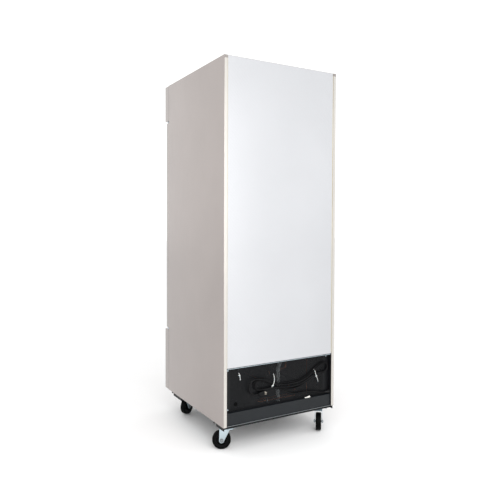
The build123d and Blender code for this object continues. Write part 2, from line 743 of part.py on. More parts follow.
def caster_fork(name):
    """Stamped fork with its crown, king pin and axle bolt."""
    crown_z = (CASTER_H - 16.6, CASTER_H - 13.6)
    ear = 62.0 if name.startswith("front") else 50.0
    crown = block((-30, ear), (-21.5, 21.5), crown_z)
    fork = crown + Pos(0, 0, sum(crown_z) / 2) * Cylinder(29, 3)
    profile = [(-28, crown_z[0]), (ear, crown_z[0]), (ear, crown_z[0] - 14), (50, WHEEL_R - 8),
               (44, WHEEL_R - 14), (32, WHEEL_R - 14), (24, WHEEL_R - 6)]
    for outer_y in (21.5, -19.0):
        fork += Pos(0, outer_y, 0) * extrude(Plane.XZ * make_face(Polyline(*profile, close=True)), 2.5)
    kingpin = Pos(0, 0, CASTER_H - 11) * Cylinder(KINGPIN_R, 19)
    fork += kingpin
    axle = rod((TRAIL, -28.5, WHEEL_R), (TRAIL, 28.5, WHEEL_R), AXLE_R)
    for low in (-25.5, 20.5):
        nut = extrude(Plane((TRAIL, low + 5, WHEEL_R), z_dir=(0, -1, 0)) * RegularPolygon(9, 6), 5)
        axle += nut
    return [at_caster(name, fork + axle)]


def caster_wheel(name):
    """Rubber tyre on a moulded hub, running on the axle bolt."""
    def ring(outer, inner, half):
        disc = rod((TRAIL, -half, WHEEL_R), (TRAIL, half, WHEEL_R), outer)
        return disc - rod((TRAIL, -half - 1, WHEEL_R), (TRAIL, half + 1, WHEEL_R), inner)

    tyre = ring(WHEEL_R, 37.0, WHEEL_HALF)
    tyre = fillet(tyre.edges().filter_by(GeomType.CIRCLE).sort_by(SortBy.RADIUS)[-2:], 5)
    hub = ring(37.0, 14.0, WHEEL_HALF - 4) + ring(14.0, AXLE_R + RUNNING, 16.0)
    return [at_caster(name, tyre), at_caster(name, hub)]


def brake_pedal(name):
    """The foot lever of a front caster, on a pin between the fork's ears."""
    z = CASTER_H - 23.0
    lever = block((54, 98), (-14, 14), (z - 2.5, z + 2.5))
    lever = fillet(lever.edges().filter_by(Axis.Z).group_by(Axis.X)[-1], 8)
    pivot = rod((56, -18.6, z), (56, 18.6, z), 4)
    return [at_caster(name, lever + pivot)]


# ---- power cord ----


def cord_tube(label, points):
    """The cord's round jacket along a route, with arcs as large as its runs allow."""
    radii = []
    for before, here, after in zip(points, points[1:], points[2:]):
        first, second = Vector(*here) - Vector(*before), Vector(*after) - Vector(*here)
        half_turn = math.radians(first.get_angle(second) / 2)
        radii.append(0.45 * min(first.length, second.length) / math.tan(half_turn))
    print(label, "radii", [round(radius) for radius in radii])
    path = FilletPolyline(*points, radius=radii)
    jacket = sweep(Plane(origin=path @ 0, z_dir=path % 0) * Circle(CORD_D / 2), path)
    section = math.pi * CORD_D**2 / 4
    ratio = jacket.volume / section / path.length
    print(label, "length", round(path.length), "volume ratio", round(ratio, 3))
    return [jacket]


def power_cord_hank():
    """The outer shape of the folded and tied middle of the cord."""
    outline = Plane.XZ * make_face(Polyline(*HANK_OUTLINE, close=True))
    hank = Pos(0, HANK_Y[1], 0) * extrude(outline, HANK_Y[1] - HANK_Y[0])
    return [fillet(hank.edges().filter_by(Axis.Y), 12)]


def plug():
    """Moulded plug with its strain relief, and three contact blades."""
    x, y, z = TAIL_ROUTE[-1]
    body = block((x - 40, x - 8), (y - 12.5, y + 12.5), (z - 17, z + 17))
    body = fillet(body.edges().filter_by(Axis.X), 9)
    neck = Plane(origin=(x, y, z), z_dir=(-1, 0, 0)) * Pos(0, 0, 5) * Cone(5.2, 8, 10)
    pieces = [body + neck]
    tip = x - 40
    for dy in (-6.35, 6.35):
        pieces.append(block((tip - 17, tip), (y + dy - 0.75, y + dy + 0.75), (z + 1, z + 7.4)))
    pieces.append(rod((tip - 20, y, z - 5.5), (tip, y, z - 5.5), 2.4))
    return pieces


def cord_gland():
    """The strain relief bushing in the side of the cover's recess."""
    x, y, z = LEAD_ROUTE[0]
    wall = -346.2 + COVER_T
    cone = Plane(origin=(wall, y, z), z_dir=(1, 0, 0)) * Pos(0, 0, (x - wall) / 2) * Cone(9, 5.5, x - wall)
    return [cone]


def cable_ties():
    """White nylon ties that hold the hank to the cover: strap, legs and head."""
    ties = []
    cover = COVER_Y + COVER_T
    for x, z, length, angle, outer in (
        (50, 343, 100, -17.5, REAR_Y + 0.1),
        (-250, 330, 110, 26, 405.2),
        (258, 392, 44, 12, 389.0),
    ):
        strap = block((-2.4, 2.4), (outer - 1.2, outer), (-length / 2, length / 2))
        for end in (-1, 1):
            z0, z1 = sorted((end * length / 2, end * (length / 2 - 1.4)))
            strap += block((-2.4, 2.4), (cover, outer - 1.2), (z0, z1))
        ties.append(Pos(x, 0, z) * Rot(Y=angle) * strap)
    return ties


def build():
    """Every node's solids by name."""
    nodes = {
        "side_panel_left": side_panel(-1),
        "side_panel_right": side_panel(1),
        "top_panel": top_panel(),
        "back_panel": back_panel() + deck_panel(),
        "foam_insulation": foam_insulation(),
        "inner_liner": inner_liner(),
        "door_frame_trim": door_frame_trim(),
        "header_panel": header_panel(),
        "controller_case": controller_case(),
        "power_rocker": power_rocker(),
        "lock_barrel": lock_barrel(),
        "front_grille": front_grille(),
        "panel_screws": panel_screws(),
        "base_frame": base_frame(),
        "caster_beams": caster_beams(),
        "rear_cover": rear_cover(),
        "compressor": compressor() + compressor_feet(),
        "condenser_coil": condenser_coil(),
        "condenser_fan": fan_blades(-240, FAN_Z, 105, 22, 5, 2.5, -195, 4),
        "condenser_fan_motor": condenser_fan_motor() + condenser_fan_shroud(),
        "condensate_pan": condensate_pan(),
        "refrigerant_lines": refrigerant_lines(),
        "drain_hose": drain_hose(),
        "junction_box": junction_box(),
        "evaporator_housing": evaporator_housing(),
        "evaporator_coil": evaporator_coil(),
        "evaporator_fan": fan_blades(112, EVAP_FAN_Z, 64, 14, 5, 2, 145, 3),
        "evaporator_fan_motor": evaporator_fan_motor(),
        "interior_light": interior_light(),
        "shelf_standards": shelf_standards() + shelf_clips(),
        "door_skin": door_skin(),
        "door_foam": door_foam(),
        "door_liner": door_liner(),
        "door_gasket": door_gasket(),
        "door_handle": door_handle(),
        "hinge_bushings": hinge_bushings(),
        "hinge_brackets": hinge_brackets(),
        "caster_plates": caster_plates() + caster_bolts(),
        "power_cord_lead": cord_tube("lead", LEAD_ROUTE),
        "power_cord_hank": power_cord_hank(),
        "power_cord_tail": cord_tube("tail", TAIL_ROUTE),
        "plug": plug(),
        "cord_gland": cord_gland(),
        "cable_ties": cable_ties(),
    }
    for name, x in BUTTON_X.items():
        nodes[name] = button(x)
    for name, height in SHELVES.items():
        nodes[name] = wire_shelf(height)
    for name in CASTERS:
        nodes["caster_fork_" + name] = caster_fork(name)
        nodes["caster_wheel_" + name] = caster_wheel(name)
    for name in ("front_right", "front_left"):
        nodes["brake_pedal_" + name] = brake_pedal(name)
    return nodes


for node, pieces in build().items():
    solids = [solid for piece in pieces for solid in piece.solids()]
    export_step(solids[0] if len(solids) == 1 else Compound(solids), f"parts/{node}.step")
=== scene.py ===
import math

import bmesh
import bpy
from mathutils import Matrix, Vector


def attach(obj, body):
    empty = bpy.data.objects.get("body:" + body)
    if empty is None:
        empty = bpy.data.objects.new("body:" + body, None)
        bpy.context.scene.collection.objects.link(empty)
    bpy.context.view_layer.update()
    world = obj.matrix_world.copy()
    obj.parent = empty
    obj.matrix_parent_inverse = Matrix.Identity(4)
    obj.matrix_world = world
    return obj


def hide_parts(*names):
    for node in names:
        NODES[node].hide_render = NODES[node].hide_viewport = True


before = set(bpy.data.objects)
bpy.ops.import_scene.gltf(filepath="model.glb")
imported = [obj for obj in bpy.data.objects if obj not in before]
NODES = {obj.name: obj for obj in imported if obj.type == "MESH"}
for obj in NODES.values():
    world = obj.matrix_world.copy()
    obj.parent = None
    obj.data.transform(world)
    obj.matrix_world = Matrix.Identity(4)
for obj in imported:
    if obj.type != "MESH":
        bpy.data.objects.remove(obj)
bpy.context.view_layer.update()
SCENE = bpy.context.scene
MM = 0.001
SHEET = 1.0
CREASE_ANGLE = 35.0

# ---- camera ----

CAMERA_AT = (1.6749, 2.9210, 1.2283)
YAW_PITCH_ROLL = (-120.273, -1.488, 0.213)
LENS_MM, LENS_SHIFT = 39.02, -0.0282


def make_camera():
    """The photograph's viewpoint: behind the cabinet, to its right, at chest height."""
    yaw, pitch, roll = (math.radians(a) for a in YAW_PITCH_ROLL)
    forward = Vector((math.cos(pitch) * math.cos(yaw), math.cos(pitch) * math.sin(yaw),
                      math.sin(pitch)))
    level = forward.cross(Vector((0, 0, 1))).normalized()
    upward = level.cross(forward)
    right = level * math.cos(roll) + upward * math.sin(roll)
    up = upward * math.cos(roll) - level * math.sin(roll)
    turn = Matrix((right, up, -forward)).transposed().to_4x4()
    data = bpy.data.cameras.new("camera")
    data.lens = LENS_MM
    data.sensor_width = 36.0
    data.shift_y = LENS_SHIFT
    data.clip_end = 50.0
    camera = bpy.data.objects.new("camera", data)
    camera.matrix_world = Matrix.Translation(CAMERA_AT) @ turn
    SCENE.collection.objects.link(camera)
    SCENE.camera = camera


make_camera()

# ---- materials ----

MATERIALS = {}
BRUSHED = (1, 1, 0.01)


def node_material(name, colour, metallic=0.0, roughness=0.5, **sockets):
    """A Principled material, listed in MATERIALS, with its constants on the shader's sockets."""
    material = bpy.data.materials.new(name)
    material.use_nodes = True
    shader = material.node_tree.nodes["Principled BSDF"]
    shader.inputs["Base Color"].default_value = (*colour, 1)
    shader.inputs["Metallic"].default_value = metallic
    shader.inputs["Roughness"].default_value = roughness
    for socket, value in sockets.items():
        shader.inputs[socket.replace("_", " ")].default_value = value
    MATERIALS[name] = material
    return material


def noise(material, scale, detail=3.0, stretch=(1, 1, 1)):
    """A noise texture in the row frame; scale is in cycles per metre."""
    nodes, links = material.node_tree.nodes, material.node_tree.links
    where = nodes.new("ShaderNodeTexCoord")
    mapping = nodes.new("ShaderNodeMapping")
    mapping.inputs["Scale"].default_value = stretch
    texture = nodes.new("ShaderNodeTexNoise")
    texture.inputs["Scale"].default_value = scale
    texture.inputs["Detail"].default_value = detail
    links.new(where.outputs["Object"], mapping.inputs["Vector"])
    links.new(mapping.outputs["Vector"], texture.inputs["Vector"])
    return texture.outputs["Fac"]


def ramp(material, source, low, high, low_at=0.3, high_at=0.7):
    """Turns a 0..1 source into a colour between two."""
    made = material.node_tree.nodes.new("ShaderNodeValToRGB")
    made.color_ramp.elements[0].position = low_at
    made.color_ramp.elements[1].position = high_at
    made.color_ramp.elements[0].color = (*low, 1)
    made.color_ramp.elements[1].color = (*high, 1)
    material.node_tree.links.new(source, made.inputs["Fac"])
    return made.outputs["Color"]


def spread(material, source, low, high, low_at=0.0, high_at=1.0):
    """Maps a 0..1 source to a number between two."""
    made = material.node_tree.nodes.new("ShaderNodeMapRange")
    made.inputs["From Min"].default_value = low_at
    made.inputs["From Max"].default_value = high_at
    made.inputs["To Min"].default_value = low
    made.inputs["To Max"].default_value = high
    material.node_tree.links.new(source, made.inputs["Value"])
    return made.outputs["Result"]


def into(material, source, socket):
    shader = material.node_tree.nodes["Principled BSDF"]
    material.node_tree.links.new(source, shader.inputs[socket])


def bump(material, source, depth, strength=1.0):
    made = material.node_tree.nodes.new("ShaderNodeBump")
    made.inputs["Distance"].default_value = depth
    made.inputs["Strength"].default_value = strength
    material.node_tree.links.new(source, made.inputs["Height"])
    into(material, made.outputs["Normal"], "Normal")


def shade(colour, factor):
    return tuple(min(1.0, c * factor) for c in colour)


def finish_material(name, colour, metallic, roughness, grain, depth, stretch=(1, 1, 1), tone=0.06,
                    **sockets):
    """A material with fine grain, uneven gloss and slow tonal changes."""
    material = node_material(name, colour, metallic, roughness, **sockets)
    cloud = noise(material, 3.0, 4.0)
    into(material, ramp(material, cloud, shade(colour, 1 - tone), shade(colour, 1 + tone)),
         "Base Color")
    fine = noise(material, grain, 3.0, stretch)
    into(material, spread(material, fine, roughness * 0.85, roughness * 1.15, 0.3, 0.7),
         "Roughness")
    bump(material, fine, depth, 0.6)
    return material


def embossed_material(name, colour):
    """Light coated steel with a fine lattice pressed into it."""
    material = node_material(name, colour, 0.35, 0.36)
    cloud = noise(material, 1.3, 3.0)
    into(material, ramp(material, cloud, shade(colour, 0.95), shade(colour, 1.03)), "Base Color")
    nodes, links = material.node_tree.nodes, material.node_tree.links
    where = nodes.new("ShaderNodeTexCoord")
    turned = nodes.new("ShaderNodeMapping")
    turned.inputs["Rotation"].default_value = (0, math.radians(45), 0)
    cells = nodes.new("ShaderNodeTexVoronoi")
    cells.inputs["Scale"].default_value = 70.0
    cells.inputs["Randomness"].default_value = 0.25
    links.new(where.outputs["Object"], turned.inputs["Vector"])
    links.new(turned.outputs["Vector"], cells.inputs["Vector"])
    bump(material, cells.outputs["Distance"], 0.0006, 0.5)
    return material


# name, colour, metallic, roughness, grain, bump depth, stretch, tone
finish_material("side_steel", (0.405, 0.367, 0.352), 0.95, 0.34, 900, 0.00004, BRUSHED, 0.03)
# Next: the side steel made paler and less metallic, a painted highlight for the rear flanges that
# face the key light.
finish_material("flange_steel_painted_highlight", (0.56, 0.54, 0.505), 0.6, 0.4, 900, 0.00004, BRUSHED, 0.03)
finish_material("front_steel", (0.39, 0.36, 0.345), 1.0, 0.28, 900, 0.00004, BRUSHED, 0.03)
finish_material("handle_steel", (0.60, 0.60, 0.60), 1.0, 0.24, 700, 0.00003, (1, 1, 0.02))
embossed_material("back_sheet", (0.515, 0.522, 0.540))
finish_material("foam", (0.82, 0.72, 0.42), 0.0, 0.9, 400, 0.0006, tone=0.1)
finish_material("liner", (0.72, 0.73, 0.74), 0.7, 0.38, 160, 0.0002, tone=0.03)
finish_material("trim_plastic", (0.045, 0.045, 0.05), 0.0, 0.5, 900, 0.00005)
finish_material("gasket", (0.06, 0.06, 0.065), 0.0, 0.62, 500, 0.00008)
finish_material("black_steel", (0.0045, 0.005, 0.006), 0.0, 0.45, 1400, 0.00012, tone=0.2,
                Specular_IOR_Level=0.2)
finish_material("rail_steel", (0.006, 0.008, 0.010), 0.0, 0.38, 1400, 0.00010, tone=0.15,
                Specular_IOR_Level=0.3)
finish_material("bolt_steel", (0.24, 0.26, 0.27), 0.9, 0.38, 260, 0.00005, tone=0.15)
finish_material("zinc", (0.50, 0.585, 0.63), 1.0, 0.33, 220, 0.00006, tone=0.12)
finish_material("tyre", (0.0015, 0.0018, 0.0018), 0.0, 0.45, 700, 0.00012, tone=0.25,
                Specular_IOR_Level=0.05)
finish_material("hub", (0.003, 0.003, 0.0035), 0.0, 0.4, 700, 0.00006, tone=0.15,
                Specular_IOR_Level=0.08)
finish_material("black_plastic", (0.008, 0.008, 0.009), 0.0, 0.4, 1200, 0.00006, tone=0.12,
                Specular_IOR_Level=0.3)
finish_material("copper", (0.50, 0.21, 0.11), 1.0, 0.36, 180, 0.00008, tone=0.18)
finish_material("hose_grey", (0.80, 0.86, 0.88), 0.0, 0.45, 300, 0.0001, tone=0.1)
finish_material("pan", (0.03, 0.03, 0.033), 0.0, 0.6, 500, 0.0001)
finish_material("fan", (0.03, 0.03, 0.034), 0.0, 0.45, 600, 0.00005)
finish_material("motor", (0.05, 0.05, 0.055), 0.3, 0.45, 300, 0.0001, tone=0.15)
finish_material("coil", (0.62, 0.63, 0.64), 1.0, 0.36, 300, 0.00005, tone=0.08)
finish_material("shelf_coating", (0.62, 0.63, 0.64), 0.25, 0.34, 500, 0.00005)
finish_material("cord_rubber", (0.004, 0.004, 0.0045), 0.0, 0.34, 500, 0.00008, tone=0.2,
                Specular_IOR_Level=0.12)
finish_material("tie_nylon", (0.62, 0.62, 0.60), 0.0, 0.42, 600, 0.00005, Subsurface_Weight=0.1)
finish_material("bushing_nylon", (0.72, 0.72, 0.70), 0.0, 0.45, 600, 0.00005)
finish_material("chrome", (0.72, 0.72, 0.73), 1.0, 0.12, 300, 0.00002, tone=0.03)
finish_material("lens", (0.88, 0.88, 0.86), 0.0, 0.35, 300, 0.00004, tone=0.02)
# Next: a grey metal for the black rail's bottom lip, a painted highlight along that edge.
finish_material("rail_lip_painted_highlight", (0.30, 0.32, 0.33), 0.6, 0.4, 400, 0.00006, tone=0.12)
finish_material("paper", (0.84, 0.83, 0.78), 0.0, 0.75, 500, 0.00008, tone=0.04)
finish_material("blade_metal", (0.36, 0.33, 0.28), 1.0, 0.35, 260, 0.00004)
finish_material("display_glass", (0.012, 0.006, 0.007), 0.0, 0.12, 400, 0.00001, tone=0.02)
finish_material("black_shell", (0.012, 0.012, 0.014), 0.0, 0.3, 160, 0.00012, tone=0.2)

LOOK_NODES = {
    "side_steel": ("top_panel", "side_panel_left", "side_panel_right"),
    "front_steel": ("header_panel", "front_grille", "door_skin"),
    "handle_steel": ("door_handle",),
    "back_sheet": ("back_panel",),
    "foam": ("foam_insulation", "door_foam"),
    "liner": ("inner_liner", "door_liner", "evaporator_housing"),
    "trim_plastic": ("door_frame_trim",),
    "gasket": ("door_gasket",),
    "rail_steel": ("base_frame",),
    "black_steel": ("caster_beams", "rear_cover"),
    "black_shell": ("compressor",),
    "black_plastic": ("junction_box", "cord_gland", "controller_case", "power_rocker", "button_set",
                      "button_up", "button_down"),
    "copper": ("refrigerant_lines",),
    "hose_grey": ("drain_hose",),
    "pan": ("condensate_pan",),
    "fan": ("condenser_fan", "evaporator_fan"),
    "motor": ("condenser_fan_motor", "evaporator_fan_motor"),
    "coil": ("condenser_coil", "evaporator_coil"),
    "lens": ("interior_light",),
    "bushing_nylon": ("hinge_bushings",),
    "chrome": ("lock_barrel",),
    "tie_nylon": ("cable_ties",),
    "cord_rubber": ("plug",),
    "zinc": ("shelf_standards", "hinge_brackets", "caster_plates", "panel_screws"),
}
NODE_LOOK = {node: look for look, nodes in LOOK_NODES.items() for node in nodes}
for shelf in ("shelf_lower", "shelf_middle", "shelf_upper"):
    NODE_LOOK[shelf] = "shelf_coating"
for corner in ("rear_right", "rear_left", "front_right", "front_left"):
    NODE_LOOK["caster_fork_" + corner] = "zinc"
    NODE_LOOK["caster_wheel_" + corner] = "tyre"
for corner in ("front_right", "front_left"):
    NODE_LOOK["brake_pedal_" + corner] = "black_plastic"


def dress_nodes():
    """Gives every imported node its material."""
    for name, node in NODES.items():
        look = MATERIALS[NODE_LOOK.get(name, "cord_rubber")]
        if not node.material_slots:
            node.data.materials.append(look)
        for holder in node.material_slots:
            holder.material = look


dress_nodes()

# ---- pieces ----


def add_piece(name, source, look, body, replaced=(), smooth=CREASE_ANGLE):
    """Turns a bmesh into a piece that rides on a body; smooth is its crease angle."""
    mesh = bpy.data.meshes.new(name)
    bmesh.ops.recalc_face_normals(source, faces=source.faces)
    source.to_mesh(mesh)
    source.free()
    obj = bpy.data.objects.new(name, mesh)
    SCENE.collection.objects.link(obj)
    mesh.materials.append(MATERIALS[look])
    mesh.shade_smooth()
    mesh.set_sharp_from_angle(angle=math.radians(smooth))
    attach(obj, body)
    if replaced:
        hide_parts(*replaced)
    return obj


def block(low, high):
    """A plain box between two corners in millimetres."""
    low, high = Vector(low) * MM, Vector(high) * MM
    made = bmesh.new()
    bmesh.ops.create_cube(made, size=1.0)
    size, middle = high - low, (high + low) / 2
    for vertex in made.verts:
        vertex.co = Vector(a * b for a, b in zip(vertex.co, size)) + middle
    return made


def round_edges(made, radius, steps):
    """Rounds every edge by a radius in millimetres; nought leaves them sharp."""
    if radius:
        bmesh.ops.bevel(made, geom=made.edges[:], offset=radius * MM, segments=steps, profile=0.5,
                        affect="EDGES", clamp_overlap=True)


def add_box(target, low, high, round_by=0.0, steps=2, place=None):
    """A box between two corners in millimetres, its edges rounded."""
    made = block(low, high)
    round_edges(made, round_by, steps)
    join(target, made, place)


def join(target, made, place=None):
    """Moves one bmesh into another."""
    if place is not None:
        bmesh.ops.transform(made, matrix=place, verts=made.verts)
    carrier = bpy.data.meshes.new("carrier")
    made.to_mesh(carrier)
    made.free()
    target.from_mesh(carrier)
    bpy.data.meshes.remove(carrier)


def at(x, y, z):
    """A shift in millimetres."""
    return Matrix.Translation((x * MM, y * MM, z * MM))


def axis_place(origin, direction):
    """A matrix that puts the local Z axis along a direction, from an origin in millimetres."""
    turn = Vector(direction).to_track_quat("Z", "Y").to_matrix().to_4x4()
    return Matrix.Translation(Vector(origin) * MM) @ turn


def add_lathe(target, profile, place, steps=48, closed=False):
    """A turned solid; profile is (radius, height) in millimetres up the local Z axis."""
    made = bmesh.new()
    rings = []
    for radius, height in profile:
        ring = []
        for k in range(steps):
            a = 2 * math.pi * k / steps
            ring.append(made.verts.new((radius * MM * math.cos(a), radius * MM * math.sin(a),
                                        height * MM)))
        rings.append(ring)
    if closed:
        rings.append(rings[0])
    for lower, upper in zip(rings, rings[1:]):
        for k in range(steps):
            n = (k + 1) % steps
            made.faces.new((lower[k], lower[n], upper[n], upper[k]))
    if not closed:
        made.faces.new(rings[0])
        made.faces.new(rings[-1])
    bmesh.ops.remove_doubles(made, verts=made.verts, dist=1e-7)
    join(target, made, place)


def add_prism(target, points, depth, place, round_by=0.0, steps=2):
    """A flat outline in millimetres, extruded along the local Z axis."""
    made = bmesh.new()
    base = [made.verts.new((x * MM, y * MM, 0)) for x, y in points]
    face = made.faces.new(base)
    grown = bmesh.ops.extrude_face_region(made, geom=[face])
    top = [item for item in grown["geom"] if isinstance(item, bmesh.types.BMVert)]
    bmesh.ops.translate(made, vec=(0, 0, depth * MM), verts=top)
    round_edges(made, round_by, steps)
    join(target, made, place)


def hexagon(radius):
    """The outline of a hexagon, in millimetres."""
    return [(radius * math.cos(math.radians(60 * k)), radius * math.sin(math.radians(60 * k)))
            for k in range(6)]


def across(x, y, z):
    """Lays an outline of (x, z) points in a plane across Y, extruding towards +Y."""
    return Matrix(((1, 0, 0, x * MM), (0, 0, 1, y * MM), (0, 1, 0, z * MM), (0, 0, 0, 1)))


def add_strip(target, points, width, thick, normal=(0, 1, 0)):
    """A flat band along points in millimetres, its flat side facing a direction."""
    made = bmesh.new()
    rings = []
    facing = Vector(normal)
    for k, point in enumerate(points):
        before, after = points[max(k - 1, 0)], points[min(k + 1, len(points) - 1)]
        along = (Vector(after) - Vector(before)).normalized()
        side = along.cross(facing).normalized()
        out = side.cross(along).normalized()
        here = Vector(point)
        corners = [(-1, 0), (-0.8, 1), (0.8, 1), (1, 0)]
        ring = [made.verts.new((here + side * a * width / 2 + out * b * thick) * MM) for a,
                b in corners]
        rings.append(ring)
    for lower, upper in zip(rings, rings[1:]):
        for k in range(4):
            made.faces.new((lower[k], lower[(k + 1) % 4], upper[(k + 1) % 4], upper[k]))
    made.faces.new(rings[0])
    made.faces.new(rings[-1])
    join(target, made)


def add_tube(target, points, radius, steps):
    """A round bar along points in millimetres."""
    made = bmesh.new()
    rings = []
    side = None
    for k, point in enumerate(points):
        before, after = points[max(k - 1, 0)], points[min(k + 1, len(points) - 1)]
        along = (Vector(after) - Vector(before)).normalized()
        if side is None:
            side = along.orthogonal().normalized()
        side = (side - along * side.dot(along)).normalized()
        other = along.cross(side)
        ring = []
        for n in range(steps):
            a = 2 * math.pi * n / steps
            off = (side * math.cos(a) + other * math.sin(a)) * radius
            ring.append(made.verts.new((Vector(point) + off) * MM))
        rings.append(ring)
    for lower, upper in zip(rings, rings[1:]):
        for n in range(steps):
            m = (n + 1) % steps
            made.faces.new((lower[n], lower[m], upper[m], upper[n]))
    made.faces.new(rings[0])
    made.faces.new(rings[-1])
    join(target, made)


def add_frame(target, profile, x, z):
    """A profile of (inset, depth) points carried round a rectangle with mitred corners."""
    made = bmesh.new()
    rings = []
    for inset, y in profile:
        low_x, high_x, low_z, high_z = x[0] + inset, x[1] - inset, z[0] + inset, z[1] - inset
        corners = [(low_x, low_z), (high_x, low_z), (high_x, high_z), (low_x, high_z)]
        rings.append([made.verts.new((a * MM, y * MM, b * MM)) for a, b in corners])
    for k, ring in enumerate(rings):
        after = rings[(k + 1) % len(rings)]
        for n in range(4):
            m = (n + 1) % 4
            made.faces.new((ring[n], ring[m], after[m], after[n]))
    join(target, made)


def rounded_rectangle(x, z, radius, steps=4):
    """The outline of a rectangle with round corners, in millimetres."""
    points = []
    centres = [(x[1] - radius, z[1] - radius, 0), (x[0] + radius, z[1] - radius, 90),
               (x[0] + radius, z[0] + radius, 180), (x[1] - radius, z[0] + radius, 270)]
    for cx, cz, start in centres:
        for k in range(steps + 1):
            a = math.radians(start + 90 * k / steps)
            points.append((cx + radius * math.cos(a), cz + radius * math.sin(a)))
    return points


def facing_front(y):
    """Puts an outline of (x, z) points in the plane at y, extruding towards -Y."""
    return at(0, y, 0) @ Matrix.Rotation(math.radians(90), 4, "X")


def cut(obj, cutters):
    """Cuts a bmesh of closed solids out of a piece."""
    mesh = bpy.data.meshes.new("cutters")
    bmesh.ops.recalc_face_normals(cutters, faces=cutters.faces)
    cutters.to_mesh(mesh)
    cutters.free()
    tool = bpy.data.objects.new("cutters", mesh)
    SCENE.collection.objects.link(tool)
    change = obj.modifiers.new("cut", "BOOLEAN")
    change.operation = "DIFFERENCE"
    change.solver = "EXACT"
    change.object = tool
    bpy.context.view_layer.update()
    graph = bpy.context.evaluated_depsgraph_get()
    result = bpy.data.meshes.new_from_object(obj.evaluated_get(graph))
    obj.modifiers.remove(change)
    obj.data = result
    result.shade_smooth()
    result.set_sharp_from_angle(angle=math.radians(CREASE_ANGLE))
    bpy.data.objects.remove(tool)


def open_box(x, y, z, radius):
    """A sheet box open at its rear: rounded front edges and corners, one sheet thick."""
    made = block((x[0], y[0], z[0]), (x[1], y[1], z[1]))
    back = [face for face in made.faces if face.normal.y > 0.5]
    bmesh.ops.delete(made, geom=back, context="FACES_ONLY")
    edges = [edge for edge in made.edges if len(edge.link_faces) == 2]
    bmesh.ops.bevel(made, geom=edges, offset=radius * MM, segments=4, profile=0.5, affect="EDGES")
    bmesh.ops.recalc_face_normals(made, faces=made.faces)
    bmesh.ops.solidify(made, geom=made.faces[:], thickness=SHEET * MM)
    return made


# ---- sheet metal ----

SIDE_X, REAR_Y, FRONT_Y, BODY_FRONT_Y = 368.5, 413.5, -413.5, -353.5
BASE_Z, TOP_Z, HEADER_Z, GRILLE_TOP_Z = 140.0, 2095.0, 1873.0, 530.0
DOOR_Z, DOOR_HALF, DOOR_FACE_Y, DOOR_BACK_Y = (540.0, 1862.0), 364.5, -401.5, -359.5


def make_side_panels():
    """Side sheets folded round at both corners into a front and a rear flange."""
    bend = 2.2
    for side, name in ((-1, "left"), (1, "right")):
        outer = []
        corners = [((SIDE_X - 24.5, BODY_FRONT_Y), None), ((SIDE_X, BODY_FRONT_Y), -90),
                   ((SIDE_X, REAR_Y), 0), ((SIDE_X - 20, REAR_Y), None)]
        for (x, y), start in corners:
            if start is None:
                outer.append((x, y, 0.0, 1.0 if y < 0 else -1.0))
                continue
            cy = y + bend if start < 0 else y - bend
            for k in range(6):
                a = math.radians(start + 18 * k)
                outer.append((SIDE_X - bend + bend * math.cos(a), cy + bend * math.sin(a),
                              -math.cos(a), -math.sin(a)))
        inner = [(x + nx * SHEET, y + ny * SHEET) for x, y, nx, ny in reversed(outer)]
        outline = [(side * x, y) for x, y in [point[:2] for point in outer] + inner]
        made = bmesh.new()
        add_prism(made, outline, TOP_Z - BASE_Z, at(0, 0, BASE_Z))
        add_piece("side_sheet_" + name, made, "side_steel", "cabinet",
                  ["side_panel_" + name], 40)


def make_front():
    """Header box, grille box with louvres, and the door's outer pan."""
    wide, deep = (-SIDE_X, SIDE_X), (FRONT_Y, BODY_FRONT_Y)
    header = add_piece("header_box", open_box(wide, deep, (HEADER_Z, TOP_Z), 3.0),
                       "front_steel", "cabinet", ["header_panel"])
    holes = bmesh.new()
    add_box(holes, (144, -420, 1975), (216, -408, 2005))
    add_box(holes, (247, -420, 1979), (277, -408, 2001))
    add_lathe(holes, [(9.3, 0), (9.3, 12)], axis_place((-300, -420, 1895), (0, 1, 0)))
    add_box(holes, (-309, -410, 1870), (-254, -404, 1876))
    cut(header, holes)

    grille = add_piece("grille_box", open_box(wide, deep, (BASE_Z, GRILLE_TOP_Z), 3.0),
                       "front_steel", "cabinet", ["front_grille"])
    holes, louvres = bmesh.new(), bmesh.new()
    for row in range(12):
        z = BASE_Z + 62 + 24 * row
        for x in (-205, 0, 205):
            outline = rounded_rectangle((x - 92, x + 92), (z, z + 9), 4.4)
            add_prism(holes, outline, 10, facing_front(FRONT_Y + 5))
            hood = [(FRONT_Y + 1.0, z + 10.5), (FRONT_Y + 4.0, z + 9.0), (FRONT_Y + 9.0, z + 1.5),
                    (FRONT_Y + 8.2, z + 1.0), (FRONT_Y + 3.4, z + 8.2), (FRONT_Y + 1.0, z + 9.6)]
            place = at(x - 94, 0, 0) @ Matrix(
                ((0, 0, 1, 0), (1, 0, 0, 0), (0, 1, 0, 0), (0, 0, 0, 1)))
            add_prism(louvres, hood, 188, place)
    cut(grille, holes)
    add_piece("grille_louvres", louvres, "front_steel", "cabinet")

    door = add_piece("door_pan", open_box((-DOOR_HALF, DOOR_HALF), (DOOR_FACE_Y, DOOR_BACK_Y),
                                          DOOR_Z, 3.5),
                     "front_steel", "door", ["door_skin"])
    holes = bmesh.new()
    add_box(holes, (-352, -408, 880), (-318, -398, 1480))
    for z in (DOOR_Z[0], DOOR_Z[1]):
        add_lathe(holes, [(9, -17.2), (9, 17.2)], Matrix.Translation((0.350, -0.377, z * MM)))
    cut(door, holes)


